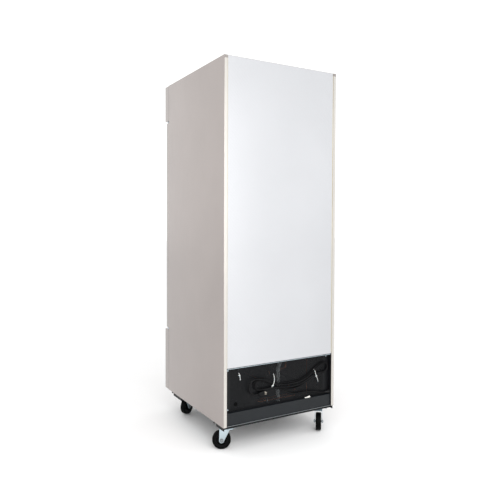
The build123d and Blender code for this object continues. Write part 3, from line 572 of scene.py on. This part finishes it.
def make_gasket():
    """The door's magnetic seal: a bellows with a soft lip, mitred at the corners."""
    back, lip = DOOR_BACK_Y, -353.85
    profile = [(1.0, back), (0.2, back + 1.2), (1.4, back + 2.2), (0.4, back + 3.4),
               (0.6, lip - 0.6), (2.0, lip),
               (13.0, lip), (15.0, lip - 0.7), (15.2, lip - 1.8), (17.4, lip - 2.2),
               (18.8, lip - 3.2),
               (18.6, back + 0.9), (17.4, back), (9.0, back)]
    made = bmesh.new()
    add_frame(made, profile, (-341, 341), (544, 1858))
    add_piece("gasket_bellows", made, "gasket", "door", ["door_gasket"], 50)


def hex_screw(target, place):
    """A hex washer-head sheet-metal screw standing on the local XY plane."""
    add_lathe(target, [(0, 0), (4.5, 0), (4.5, 0.4), (4.1, 0.7), (3.0, 0.8)], place, 24)
    add_prism(target, hexagon(3.1), 2.0, place, 0.25, 1)


def make_screws():
    """Screws at the grille's corners and the rear cover's sides."""
    made = bmesh.new()
    for x in (-350, 350):
        for z in (BASE_Z + 30, GRILLE_TOP_Z - 30):
            hex_screw(made, axis_place((x, FRONT_Y, z), (0, -1, 0)))
    for x in (-330, 330):
        for z in (222, 434):
            hex_screw(made, axis_place((x, COVER_FACE, z), (0, 1, 0)))
    add_piece("sheet_screws", made, "zinc", "cabinet", ["panel_screws"])


# ---- rear cover ----

COVER_FACE, COVER_BACK, COVER_REACH = 386.4, 385.2, 411
COVER_HALF, COVER_Z = 346.2, (146.0, 451.0)
FIELD_X, FIELD_Z = (-304.0, 316.0), (216.0, 436.0)
HOLE_PITCH, HOLE_RADIUS = 6.0, 1.95


def make_cover():
    """The black cover: a field of fine holes inside plain margins, folded at its sides and top."""
    pitch, hole = HOLE_PITCH, HOLE_RADIUS
    low_x, high_x, low_z, high_z = *FIELD_X, *FIELD_Z
    made = bmesh.new()
    front, back = COVER_FACE - 0.15, COVER_BACK + 0.15
    cell = pitch / math.sqrt(3)
    row_step = pitch * math.sqrt(3) / 2
    rows = int((high_z - low_z) / row_step)
    columns = int((high_x - low_x) / pitch)
    shared = {}

    def corner(x, z, y):
        key = (round(x, 2), round(z, 2), y)
        if key not in shared:
            shared[key] = made.verts.new((x * MM, y * MM, z * MM))
        return shared[key]

    for row in range(rows + 1):
        z = low_z + row * row_step
        for column in range(columns + 1):
            x = low_x + column * pitch + (pitch / 2 if row % 2 else 0)
            outer, inner = {}, {}
            for y in (front, back):
                outer[y], inner[y] = [], []
                for k in range(6):
                    a = math.radians(60 * k + 30)
                    outer[y].append(corner(x + cell * math.cos(a), z + cell * math.sin(a), y))
                    inner[y].append(made.verts.new(((x + hole * math.cos(a)) * MM, y * MM,
                                                    (z + hole * math.sin(a)) * MM)))
            for k in range(6):
                n = (k + 1) % 6
                made.faces.new((outer[front][k], outer[front][n], inner[front][n], inner[front][k]))
                made.faces.new((outer[back][n], outer[back][k], inner[back][k], inner[back][n]))
                made.faces.new((inner[front][k], inner[front][n], inner[back][n], inner[back][k]))
    add_frame_plate(made, (-COVER_HALF, COVER_HALF), COVER_Z, (low_x - 1.0, high_x + 1.0),
                    (low_z - 1.5, high_z - 1.0))
    add_piece("rear_cover_sheet", made, "black_steel", "cabinet", ["rear_cover"], 30)
    folds = bmesh.new()
    for side in (-1, 1):
        add_box(folds, (side * COVER_HALF - (1.2 if side > 0 else 0), COVER_FACE, 211),
                (side * COVER_HALF + (1.2 if side < 0 else 0), COVER_REACH, 449.8), 0.3, 1)
    add_box(folds, (-COVER_HALF, COVER_FACE, 449.8), (COVER_HALF, COVER_REACH, 451), 0.3, 1)
    add_piece("rear_cover_folds", folds, "black_steel", "cabinet")


def add_frame_plate(target, x, z, hole_x, hole_z):
    """Four plain margins round the perforated field, a touch thicker than it."""
    y = (COVER_BACK, COVER_FACE)
    add_box(target, (x[0], y[0], z[0]), (hole_x[0], y[1], z[1]))
    add_box(target, (hole_x[1], y[0], z[0]), (x[1], y[1], z[1]))
    add_box(target, (hole_x[0], y[0], z[0]), (hole_x[1], y[1], hole_z[0]))
    add_box(target, (hole_x[0], y[0], hole_z[1]), (hole_x[1], y[1], z[1]))


def make_cover_details():
    """A pale strip under the fold and a grey lip on the rail's bottom edge, both painted
    highlights; grommet and blank tag on the ledge.
    """
    # A pale zinc strip under the top fold: a painted highlight along the hem's edge.
    edge = bmesh.new()
    add_box(edge, (-344.5, 408.2, 446.6), (344.5, 410.8, 449.6), 0.3, 1)
    add_piece("cover_hem_painted_highlight", edge, "zinc", "cabinet")
    # A grey lip along the black rail's bottom edge: a painted highlight.
    lip = bmesh.new()
    add_box(lip, (-346, 406.1, 140.0), (346, 411.4, 143.0), 0.5, 2)
    add_piece("rail_lip_painted_highlight", lip, "rail_lip_painted_highlight", "cabinet")
    ring = bmesh.new()
    profile = [(4.5, 0), (10.5, 0), (11.0, 1.2), (9.6, 2.6), (6.4, 3.0), (4.8, 2.0)]
    place = axis_place((281, COVER_FACE, 247), (0, 1, 0))
    add_lathe(ring, profile, place, 32, True)
    add_lathe(ring, [(0, 0.2), (4.7, 0.2), (4.7, 0.8)], place, 32)
    add_piece("cover_grommet", ring, "tyre", "cabinet")
    tag = bmesh.new()
    points = [(-170, 398, 210.4), (-180, 397.4, 210.6), (-190, 396.6, 211.6), (-200, 396.2, 213.6),
              (-207, 396.4, 215.4)]
    add_strip(tag, points, 9, 0.4, (0, 0.75, 0.66))
    add_piece("blank_tag", tag, "paper", "cabinet")


# ---- cord fittings ----


def smooth_path(points):
    """Catmull-Rom points through the given ones."""
    per_run = 6
    path = []
    vectors = [Vector(p) for p in points]
    for k in range(len(vectors) - 1):
        p0, p1 = vectors[max(k - 1, 0)], vectors[k]
        p2, p3 = vectors[k + 1], vectors[min(k + 2, len(vectors) - 1)]
        for n in range(per_run):
            t = n / per_run
            path.append(0.5 * ((2 * p1) + (p2 - p0) * t + (2 * p0 - 5 * p1 + 4 * p2 - p3) * t * t
                               + (3 * p1 - p0 - 3 * p2 + p3) * t ** 3))
    path.append(vectors[-1])
    return path


TIES = {
    "tie_left": [(262, 386.2, 414), (261.5, 389.5, 408), (258, 390.2, 394), (255, 389.5, 380),
                 (254, 386.2, 373)],
    "tie_centre": [(40, 386.2, 378), (41, 391, 373), (43, 399, 364), (48, 407.6, 346),
                   (54, 408.2, 328),
                   (60, 402, 312), (63, 393, 303), (64, 386.2, 299)],
    "tie_right": [(-233, 386.2, 370), (-233.5, 396, 368), (-235, 405, 360), (-240, 406.4, 342),
                  (-249, 405.4, 322), (-262, 397, 302), (-272, 386.2, 288)],
}
TIE_HEADS = {"tie_left": (259.6, 391.0, 401), "tie_centre": (56.5, 407.6, 321),
             "tie_right": (-244.5, 407.0, 331)}


def make_ties():
    """Nylon ties: a thin strap over the strands, its square head and cut tail."""
    made = bmesh.new()
    for name, points in TIES.items():
        add_strip(made, smooth_path(points), 3.4, 1.1)
        x, y, z = TIE_HEADS[name]
        add_box(made, (x - 3.2, y - 1.6, z - 3.4), (x + 3.2, y + 2.6, z + 3.4), 0.9, 2)
        add_strip(made, [(x + 1, y + 0.8, z), (x + 5, y + 2.0, z + 0.8), (x + 9.5, y + 1.4,
                                                                          z + 1.0)], 3.0, 1.0)
    add_piece("nylon_ties", made, "tie_nylon", "cabinet", ["cable_ties"])


PLUG_AT = (152.0, 399.0, 282.0)


def make_plug():
    """Moulded plug: waisted grip, ribbed strain relief, two flat blades and a round pin."""
    x, y, z = PLUG_AT
    body = bmesh.new()
    outline = [(0, 12.5, 17.0), (3, 12.5, 17.0), (10, 12.2, 16.4), (18, 11.0, 14.0),
               (25, 9.8, 12.0), (32, 8.2, 9.6)]
    rings = []
    count, squareness = 28, 0.55
    for along, half_y, half_z in outline:
        ring = []
        for k in range(count):
            a = 2 * math.pi * k / count
            c, s = math.cos(a), math.sin(a)
            px = math.copysign(abs(c) ** squareness, c) * half_y
            pz = math.copysign(abs(s) ** squareness, s) * half_z
            ring.append(body.verts.new(((x - 40 + along) * MM, (y + px) * MM, (z + pz) * MM)))
        rings.append(ring)
    for lower, upper in zip(rings, rings[1:]):
        for k in range(count):
            body.faces.new((lower[k], lower[(k + 1) % count], upper[(k + 1) % count], upper[k]))
    body.faces.new(rings[0])
    body.faces.new(rings[-1])
    relief = [(8.2, 0), (8.4, 2.5), (7.0, 3.2), (7.0, 4.4), (7.8, 5.2), (7.6, 7.0), (6.4, 7.8),
              (6.4, 9.0), (7.0, 9.8),
              (6.6, 11.6), (5.6, 12.4), (5.6, 13.4), (6.2, 14.2), (5.8, 16.0), (4.9, 18.0),
              (4.5, 22.0), (4.3, 22.0)]
    add_lathe(body, relief, axis_place((x - 9, y, z), (1, 0, 0)), 28)
    grip = add_piece("plug_body", body, "cord_rubber", "cabinet", ["plug"], 45)
    blades = bmesh.new()
    for dy in (-6.35, 6.35):
        add_box(blades, (x - 57, y + dy - 0.75, z + 1.0), (x - 39, y + dy + 0.75, z + 7.4), 0.5, 2)
    add_lathe(blades, [(0, 0), (1.6, 0), (2.4, 2.0), (2.4, 21)],
              axis_place((x - 60, y, z - 5.5), (1, 0, 0)), 20)
    return [grip, add_piece("plug_blades", blades, "blade_metal", "cabinet")]


def make_gland():
    """Tapered strain relief where the cord leaves the cover's side fold."""
    made = bmesh.new()
    profile = [(13, 0), (13, 2), (9.5, 3), (9.2, 6), (8.0, 7), (8.4, 9), (7.2, 10), (7.6, 12),
               (6.6, 13), (6.9, 15),
               (6.0, 16), (6.2, 18), (5.4, 19), (5.6, 22), (4.8, 25), (4.4, 31), (4.25, 31)]
    add_lathe(made, profile, axis_place((-345, 397, 224), (1, 0, 0)), 28)
    add_piece("cord_strain_relief", made, "black_plastic", "cabinet",
              ["cord_gland"])


# ---- casters ----

CASTERS = {
    "rear_right": (305.0, 351.5, -27.0),
    "rear_left": (-305.0, 351.5, 52.0),
    "front_right": (318.0, -234.0, 210.0),
    "front_left": (-318.0, -234.0, 140.0),
}
CASTER_TOP, TRAIL, WHEEL_R, PEDAL_Z = 130.0, 38.0, 50.8, 107.0


def make_caster(name):
    """One caster: bolt plate and race, stamped fork with axle bolt, tyre, spoked hub, pedal."""
    x, y, angle = CASTERS[name]
    braked = name.startswith("front")
    fixed = at(x, y, 0)
    place = fixed @ Matrix.Rotation(math.radians(angle), 4, "Z")
    top = CASTER_TOP

    plate = bmesh.new()
    add_prism(plate, rounded_rectangle((-33, 33), (-46, 46), 7), 3.0, fixed @ at(0, 0, top - 3),
              0.5, 2)
    race = [(8, -3), (27.5, -3), (28.5, -4.2), (28.5, -7.4), (27.2, -9.4), (24.5, -11.0),
            (20, -12.4), (8, -12.4)]
    add_lathe(plate, race, fixed @ at(0, 0, top), 48, True)
    for dx in (-25, 25):
        for dy in (-38, 38):
            spot = fixed @ at(dx, dy, top - 8.4)
            add_prism(plate, hexagon(6), 4.6, spot, 0.5, 1)
            add_lathe(plate, [(0, 4.4), (7.4, 4.4), (7.4, 5.4)], spot, 24)
            add_lathe(plate, [(0, -1.6), (2.9, -1.6), (3.4, -1.0), (3.4, 0.2)], spot, 16)
    add_piece("caster_top_" + name, plate, "zinc", "cabinet")

    fork = bmesh.new()
    crown_low, crown_high = top - 16.6, top - 13.6
    ear = 62.0 if braked else 50.0
    crown = [(ear, -15), (ear - 4, -21.5), (12, -21.5), (4, -28), (-10, -27), (-24, -18), (-29, 0),
             (-24, 18),
             (-10, 27), (4, 28), (12, 21.5), (ear - 4, 21.5), (ear, 15)]
    add_prism(fork, crown, crown_high - crown_low, place @ at(0, 0, crown_low), 0.9, 3)
    ball_track = [(9, 0), (26.5, 0), (26.8, 1.1), (25.0, 2.0), (21.0, 2.3), (9, 2.3)]
    add_lathe(fork, ball_track, place @ at(0, 0, crown_high - 0.1), 48, True)
    leg = [(-27, crown_high - 1), (ear, crown_high - 1), (ear, crown_low - 13), (51.5, 48),
           (48.6, 41), (43.5, 37.2),
           (38, 36), (32.5, 37.2), (27.6, 41), (-6, crown_low - 5), (-27, crown_low - 2)]
    for low_y in (-21.5, 19.0):
        add_prism(fork, leg, 2.5, place @ across(0, low_y, 0), 0.8, 3)
    rib = [(6, crown_low - 4), (ear - 8, crown_low - 4), (44, 60), (38, 57), (33, 60)]
    for low_y in (-22.3, 20.7):
        add_prism(fork, rib, 1.6, place @ across(0, low_y, 0), 0.7, 2)
    add_lathe(fork, [(0, 0), (6.2, 0), (8.0, 1.2), (8.4, 3.0), (6.0, 4.6), (6.0, 18)],
              place @ at(0, 0, crown_low - 3.4), 32)
    add_piece("fork_" + name, fork, "zinc", "fork_" + name, ["caster_fork_" + name], 32)

    axle = bmesh.new()
    along_y = across(TRAIL, 0, WHEEL_R)
    add_lathe(axle, [(0, -28.4), (4.6, -28.4), (5.9, -27.4), (5.9, 27.4), (4.6, 28.4), (0, 28.4)],
              place @ along_y, 24)
    for low in (-27.0, 22.0):
        add_prism(axle, hexagon(8.8), 5.0, place @ along_y @ at(0, 0, low), 0.7, 2)
        add_lathe(axle, [(6.1, -0.9), (10.8, -0.9), (10.8, 0.9), (6.1, 0.9)],
                  place @ along_y @ at(0, 0, 22.4 if low > 0 else -22.4), 32, True)
    add_piece("axle_bolt_" + name, axle, "bolt_steel", "fork_" + name, (), 32)

    tyre = bmesh.new()
    section = [(37.2, -14.6), (40.0, -15.6), (45.6, -15.8), (48.4, -14.8), (50.0, -12.4),
               (50.6, -9.0), (50.8, 0),
               (50.6, 9.0), (50.0, 12.4), (48.4, 14.8), (45.6, 15.8), (40.0, 15.6), (37.2, 14.6)]
    add_lathe(tyre, section, place @ along_y, 72, True)
    add_piece("tyre_" + name, tyre, "tyre", "wheel_" + name, ["caster_wheel_" + name], 40)
    hub = bmesh.new()
    rim = [(31.5, -12.2), (34.5, -13.8), (37.4, -13.8), (37.4, 13.8), (34.5, 13.8), (31.5, 12.2),
           (31.0, 3.0), (31.0, -3.0)]
    add_lathe(hub, rim, place @ along_y, 56, True)
    web = [(12, -3.0), (32, -3.0), (32, 3.0), (12, 3.0)]
    add_lathe(hub, web, place @ along_y, 48, True)
    boss = [(6.1, -16.0), (10.6, -16.0), (12.6, -14.6), (14.0, -4.0), (14.0, 4.0), (12.6, 14.6),
            (10.6, 16.0), (6.1, 16.0)]
    add_lathe(hub, boss, place @ along_y, 40, True)
    for k in range(8):
        spoke = place @ along_y @ Matrix.Rotation(math.radians(45 * k), 4, "Z")
        add_box(hub, (12.5, -1.3, -10.5), (32.5, 1.3, 10.5), 0.5, 1, spoke)
    add_piece("hub_" + name, hub, "hub", "wheel_" + name, (), 40)

    if braked:
        pedal = bmesh.new()
        height = PEDAL_Z
        lever = [(54, -13), (70, -13.5), (88, -14), (94, -12.5), (98, -7), (98, 7), (94, 12.5),
                 (88, 14), (70, 13.5),
                 (54, 13)]
        add_prism(pedal, lever, 4.6, place @ at(0, 0, height - 2.3), 1.3, 3)
        for step in range(5):
            add_box(pedal, (76 + 4.4 * step, -9.5, height + 2.0),
                    (78 + 4.4 * step, 9.5, height + 3.0), 0.4, 1, place)
        pin = place @ across(56, 0, height)
        add_lathe(pedal, [(0, -18.5), (3.4, -18.5), (4.0, -17.8), (4.0, 17.8), (3.4, 18.5), (0,
                                                                                             18.5)],
                  pin, 24)
        add_piece("pedal_" + name, pedal, "black_plastic", "pedal_" + name,
                  ["brake_pedal_" + name])


# ---- machinery ----


COMPRESSOR_X, COMPRESSOR_Y, PAN_Z = -70.0, 235.0, 143.2
HOSE_X, HOSE_Y, HOSE_TOP_Y = -16, 346, 373


def make_compressor():
    """Hermetic compressor: two pressed halves with a weld flange, feet, terminal cover and bail."""
    x, y, pan = COMPRESSOR_X, COMPRESSOR_Y, PAN_Z
    shell = bmesh.new()
    profile = [(0, 0), (44, 0.5), (58, 4), (66, 12), (69.5, 24), (70, 40), (70, 82), (72.5, 83.5),
               (72.5, 88), (70, 89.5),
               (69.6, 112), (67, 128), (60, 140), (48, 147), (30, 151), (12, 152.6), (0, 152.8)]
    add_lathe(shell, profile, at(x, y, pan + 21), 72)
    add_box(shell, (x + 66, y - 24, pan + 76), (x + 100, y + 24, pan + 136), 5, 4)
    add_piece("compressor_shell", shell, "black_shell", "cabinet", ["compressor"],
              40)
    plate = bmesh.new()
    add_prism(plate, rounded_rectangle((x - 95, x + 95), (y - 60, y + 60), 12), 2.6,
              at(0, 0, pan + 18), 0.6, 2)
    for dx in (-82, 82):
        for dy in (-47, 47):
            spot = at(x + dx, y + dy, pan)
            add_lathe(plate, [(0, 0.2), (11, 0.2), (11, 5), (8.4, 6.2), (8.4, 8), (10.6, 9.2),
                              (10.6, 13), (8.4, 14.2),
                              (8.4, 18), (0, 18)], spot, 32)
            add_lathe(plate, [(0, 20.4), (7.6, 20.4), (7.6, 21.8), (4.2, 22.2), (4.2, 26), (0, 26)],
                      spot, 24)
    add_piece("compressor_base", plate, "motor", "cabinet")
    bail = bmesh.new()
    arc = [(x + 101 * math.cos(a) * 0.2 + 84, y + 27 * math.cos(a), pan + 106 + 34 * math.sin(a))
           for a in (math.radians(15 * k) for k in range(-1, 14))]
    add_tube(bail, arc, 1.3, 8)
    add_piece("terminal_bail", bail, "zinc", "cabinet")


def make_coil(name, x, y, z, pitch, node, tube_rows):
    """A finned block: thin fins, end plates and the tubes' return bends."""
    made = bmesh.new()
    count = int((x[1] - x[0]) / pitch)
    for k in range(count + 1):
        at = x[0] + k * pitch
        add_box(made, (at - 0.15, y[0], z[0]), (at + 0.15, y[1], z[1]))
    for at in (x[0] - 2, x[1]):
        add_box(made, (at, y[0], z[0] - 4), (at + 2, y[1], z[1] + 4), 0.3, 1)
    add_piece(name + "_fins", made, "coil", "cabinet", [node])
    pipes = bmesh.new()
    middle = (y[0] + y[1]) / 2
    for height in tube_rows:
        for dy in (-13, 13):
            add_tube(pipes, [(x[0] - 2, middle + dy, height), (x[1] + 2, middle + dy, height)], 4.5,
                     12)
        for side in (-1, 1):
            end = x[1] + 2 if side > 0 else x[0] - 2
            arc = [(end + side * 13 * math.sin(a), middle - 13 * math.cos(a), height)
                   for a in (math.radians(15 * k) for k in range(13))]
            add_tube(pipes, arc, 4.5, 12)
    add_piece(name + "_tubes", pipes, "copper", "cabinet")


def make_guard(name, centre, rings, wire, reach):
    """A round wire guard in front of a fan, with spokes."""
    made = bmesh.new()
    place = axis_place(centre, (0, 1, 0))
    for radius in rings:
        section = [(radius + wire * math.cos(math.radians(45 * k)),
                    wire * math.sin(math.radians(45 * k)))
                   for k in range(8)]
        add_lathe(made, section, place, 56, True)
    x, y, z = centre
    for k in range(4):
        a = math.radians(45 + 90 * k)
        c, s = math.cos(a), math.sin(a)
        add_tube(made, [(x + rings[0] * c, y + wire * 1.6, z + rings[0] * s), (x + reach * c,
                                                                               y + wire * 1.6,
                                                                               z + reach * s)],
                 wire, 8)
    add_piece(name, made, "zinc", "cabinet")


def make_hose_ribs():
    """The drain hose's corrugations inside the machine compartment."""
    made = bmesh.new()
    ring = [(10.6, -1.5), (12.2, -0.9), (12.4, 0), (12.2, 0.9), (10.6, 1.5)]
    spots = [(HOSE_Y, 184 + 5.6 * k) for k in range(38)] + [(HOSE_TOP_Y,
                                                             441 + 5 * k) for k in range(3)]
    for y, z in spots:
        add_lathe(made, ring, at(HOSE_X, y, z), 28, True)
    add_piece("hose_ribs", made, "hose_grey", "cabinet")


def make_display():
    """The controller's dark display window, switched off."""
    window = bmesh.new()
    add_prism(window, rounded_rectangle((148, 212), (1986, 2002), 1.5), 0.8, facing_front(-416.0),
              0.2, 1)
    add_piece("display_window", window, "display_glass", "cabinet")


def make_trim():
    """Hinge cap over the door, tabs, a paler skin on the rear flanges as a painted highlight of the
    side steel, lips at the opening.
    """
    cap = bmesh.new()
    add_box(cap, (353, -361, 1863.5), (368.2, -353.6, 1871.5), 1.2, 2)
    add_piece("hinge_cap", cap, "black_plastic", "cabinet")
    tabs = bmesh.new()
    for side in (-1, 1):
        low, high = sorted((side * 346.8, side * 368.2))
        add_box(tabs, (low, 413.5, 2079), (high, 414.3, 2094.6), 0.35, 1)
        add_lathe(tabs, [(0, 0), (3.2, 0), (2.9, 0.9), (0, 1.3)],
                  axis_place((side * 357, 414.3, 2087), (0, 1, 0)), 20)
    add_piece("corner_tabs", tabs, "front_steel", "cabinet")
    # A thin paler skin on the rear flanges: a painted highlight on the same steel as the sides.
    flange_highlights = bmesh.new()
    for side in (-1, 1):
        low, high = sorted((side * 350.0, side * 366.4))
        add_box(flange_highlights, (low, 413.4, 141), (high, 413.75, 2094), 0.15, 1)
    add_piece("rear_flange_painted_highlight", flange_highlights, "flange_steel_painted_highlight", "cabinet")
    lips = bmesh.new()
    for z in ((530.2, 542.5), (1859.5, 1872.8)):
        add_box(lips, (-344, -354.1, z[0]), (344, -353.3, z[1]), 0.3, 1)
    add_piece("opening_lips", lips, "front_steel", "cabinet")


def make_clamp():
    """A pale strap round the hot-gas loop."""
    made = bmesh.new()
    add_box(made, (65, 357, 211), (73, 371, 241), 1.2, 2)
    add_piece("loop_clamp", made, "zinc", "cabinet")


# ---- power cord ----

CORD_D = 0.0084
CORD_POINTS = [
    (-0.318, 0.397, 0.224), (-0.290, 0.397, 0.224), (-0.250, 0.397, 0.237), (-0.205, 0.397, 0.244),
    (-0.155, 0.396, 0.248), (-0.108, 0.395, 0.245), (-0.062, 0.395, 0.255), (-0.020, 0.396, 0.275),
    (0.024, 0.396, 0.301), (0.066, 0.392, 0.306), (0.112, 0.391, 0.305),
    (0.1555, 0.391, 0.3045), (0.1716, 0.391, 0.3208), (0.1716, 0.391, 0.3434),
    (0.1555, 0.391, 0.3592),
    (0.112, 0.391, 0.352), (0.072, 0.391, 0.333), (0.036, 0.391, 0.316), (-0.008, 0.391, 0.292),
    (-0.052, 0.391, 0.279), (-0.100, 0.391, 0.276), (-0.152, 0.391, 0.288), (-0.205, 0.391, 0.317),
    (-0.250, 0.391, 0.339), (-0.285, 0.391, 0.343),
    (-0.3165, 0.391, 0.343), (-0.3348, 0.391, 0.3612), (-0.3348, 0.391, 0.3868),
    (-0.3165, 0.391, 0.405),
    (-0.284, 0.391, 0.402), (-0.252, 0.391, 0.384), (-0.222, 0.391, 0.360), (-0.190, 0.391, 0.339),
    (-0.150, 0.391, 0.324), (-0.100, 0.391, 0.317), (-0.045, 0.391, 0.318), (0.006, 0.393, 0.322),
    (0.046, 0.398, 0.328), (0.082, 0.3996, 0.343), (0.116, 0.3996, 0.356),
    (0.1500, 0.3996, 0.3592), (0.1660, 0.3996, 0.3434), (0.1660, 0.3996, 0.3210),
    (0.1500, 0.3996, 0.3052),
    (0.108, 0.3996, 0.3045), (0.060, 0.3996, 0.308), (0.012, 0.3996, 0.303),
    (-0.040, 0.3996, 0.295),
    (-0.095, 0.3996, 0.293), (-0.150, 0.3996, 0.302), (-0.205, 0.3996, 0.329),
    (-0.248, 0.3996, 0.346),
    (-0.284, 0.3996, 0.3475),
    (-0.3140, 0.3996, 0.3475), (-0.3300, 0.3996, 0.3640), (-0.3300, 0.3996, 0.3860),
    (-0.3140, 0.3996, 0.4015),
    (-0.284, 0.3996, 0.397), (-0.254, 0.3996, 0.379), (-0.223, 0.3996, 0.355),
    (-0.190, 0.3996, 0.335),
    (-0.148, 0.3996, 0.319), (-0.095, 0.3996, 0.310), (-0.040, 0.3996, 0.310),
    (0.004, 0.3996, 0.315),
    (0.036, 0.400, 0.323), (0.062, 0.402, 0.334),
    (0.098, 0.408, 0.357), (0.140, 0.408, 0.368), (0.177, 0.406, 0.371), (0.201, 0.404, 0.354),
    (0.209, 0.402, 0.327), (0.201, 0.400, 0.300), (0.178, 0.399, 0.282), (0.152, 0.399, 0.282),
]


def make_cord():
    """The mains lead: out of its gland, folded in a tied hank, and on to its plug."""
    curve = bpy.data.curves.new("power_cord", "CURVE")
    curve.dimensions = "3D"
    curve.resolution_u = 10
    curve.bevel_depth = CORD_D / 2
    curve.bevel_resolution = 5
    curve.use_fill_caps = True
    spline = curve.splines.new("NURBS")
    spline.points.add(len(CORD_POINTS) - 1)
    for point, place in zip(spline.points, CORD_POINTS):
        point.co = (*place, 1)
    spline.order_u = 3
    spline.use_endpoint_u = True
    cord = bpy.data.objects.new("power_cord", curve)
    SCENE.collection.objects.link(cord)
    curve.materials.append(MATERIALS["cord_rubber"])
    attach(cord, "cabinet")
    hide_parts("power_cord_lead", "power_cord_hank", "power_cord_tail")
    return cord


PLUG_PIECES = make_plug()
CORD = make_cord()

# ---- stage and light ----

HORIZON_STRENGTH, ZENITH_STRENGTH = 1.3, 0.93


def make_stage():
    """A pale floor and a white world, brighter at the horizon than overhead."""
    bpy.ops.mesh.primitive_plane_add(size=60)
    floor = bpy.context.object
    floor.name = "floor"
    floor.data.materials.append(finish_material("floor_paper", (0.985, 0.985, 0.985), 0.0, 0.7, 40,
                                                0.0001, tone=0.005))
    world = bpy.data.worlds.new("studio")
    SCENE.world = world
    world.use_nodes = True
    background = world.node_tree.nodes["Background"]
    background.inputs["Color"].default_value = (1, 1, 1, 1)
    nodes, links = world.node_tree.nodes, world.node_tree.links
    where = nodes.new("ShaderNodeTexCoord")
    split = nodes.new("ShaderNodeSeparateXYZ")
    fall = nodes.new("ShaderNodeMapRange")
    for socket, value in (("From Min", 0.0), ("From Max", 1.0), ("To Min", HORIZON_STRENGTH),
                          ("To Max", ZENITH_STRENGTH)):
        fall.inputs[socket].default_value = value
    links.new(where.outputs["Generated"], split.inputs["Vector"])
    links.new(split.outputs["Z"], fall.inputs["Value"])
    links.new(fall.outputs["Result"], background.inputs["Strength"])


def soft_light(name, place, target, size, power):
    """A rectangular area light aimed at a point; metres and watts."""
    data = bpy.data.lights.new(name, "AREA")
    data.shape = "RECTANGLE"
    data.size, data.size_y = size
    data.energy = power
    light = bpy.data.objects.new(name, data)
    light.location = place
    light.rotation_mode = "QUATERNION"
    light.rotation_quaternion = (Vector(target) - Vector(place)).to_track_quat("-Z", "Y")
    SCENE.collection.objects.link(light)


make_stage()
soft_light("key", (0.55, 1.95, 1.42), (0.2, 0.41, 1.3), (1.6, 1.6), 25)
SCENE.view_settings.view_transform = "Standard"

# ---- everything that replaces or dresses the CAD ----

make_side_panels()
make_front()
make_gasket()
make_cover()
make_cover_details()
make_screws()
make_ties()
make_gland()
for corner in CASTERS:
    make_caster(corner)
make_compressor()
make_coil("condenser", (-180, 180), (-332, -272), (147.2, 427.2), 3.0, "condenser_coil",
          [175, 227, 279, 331, 383])
make_coil("evaporator", (-240, 240), (210, 320), (1902, 2016), 4.0, "evaporator_coil",
          [1930, 1960, 1990])
make_guard("condenser_guard", (0, -265, 290), (24, 44, 64, 84, 104, 121), 1.2, 121)
make_guard("evaporator_guard", (0, 87, 1957), (16, 30, 44, 58, 73), 1.1, 73)
make_hose_ribs()
make_display()
make_trim()
make_clamp()
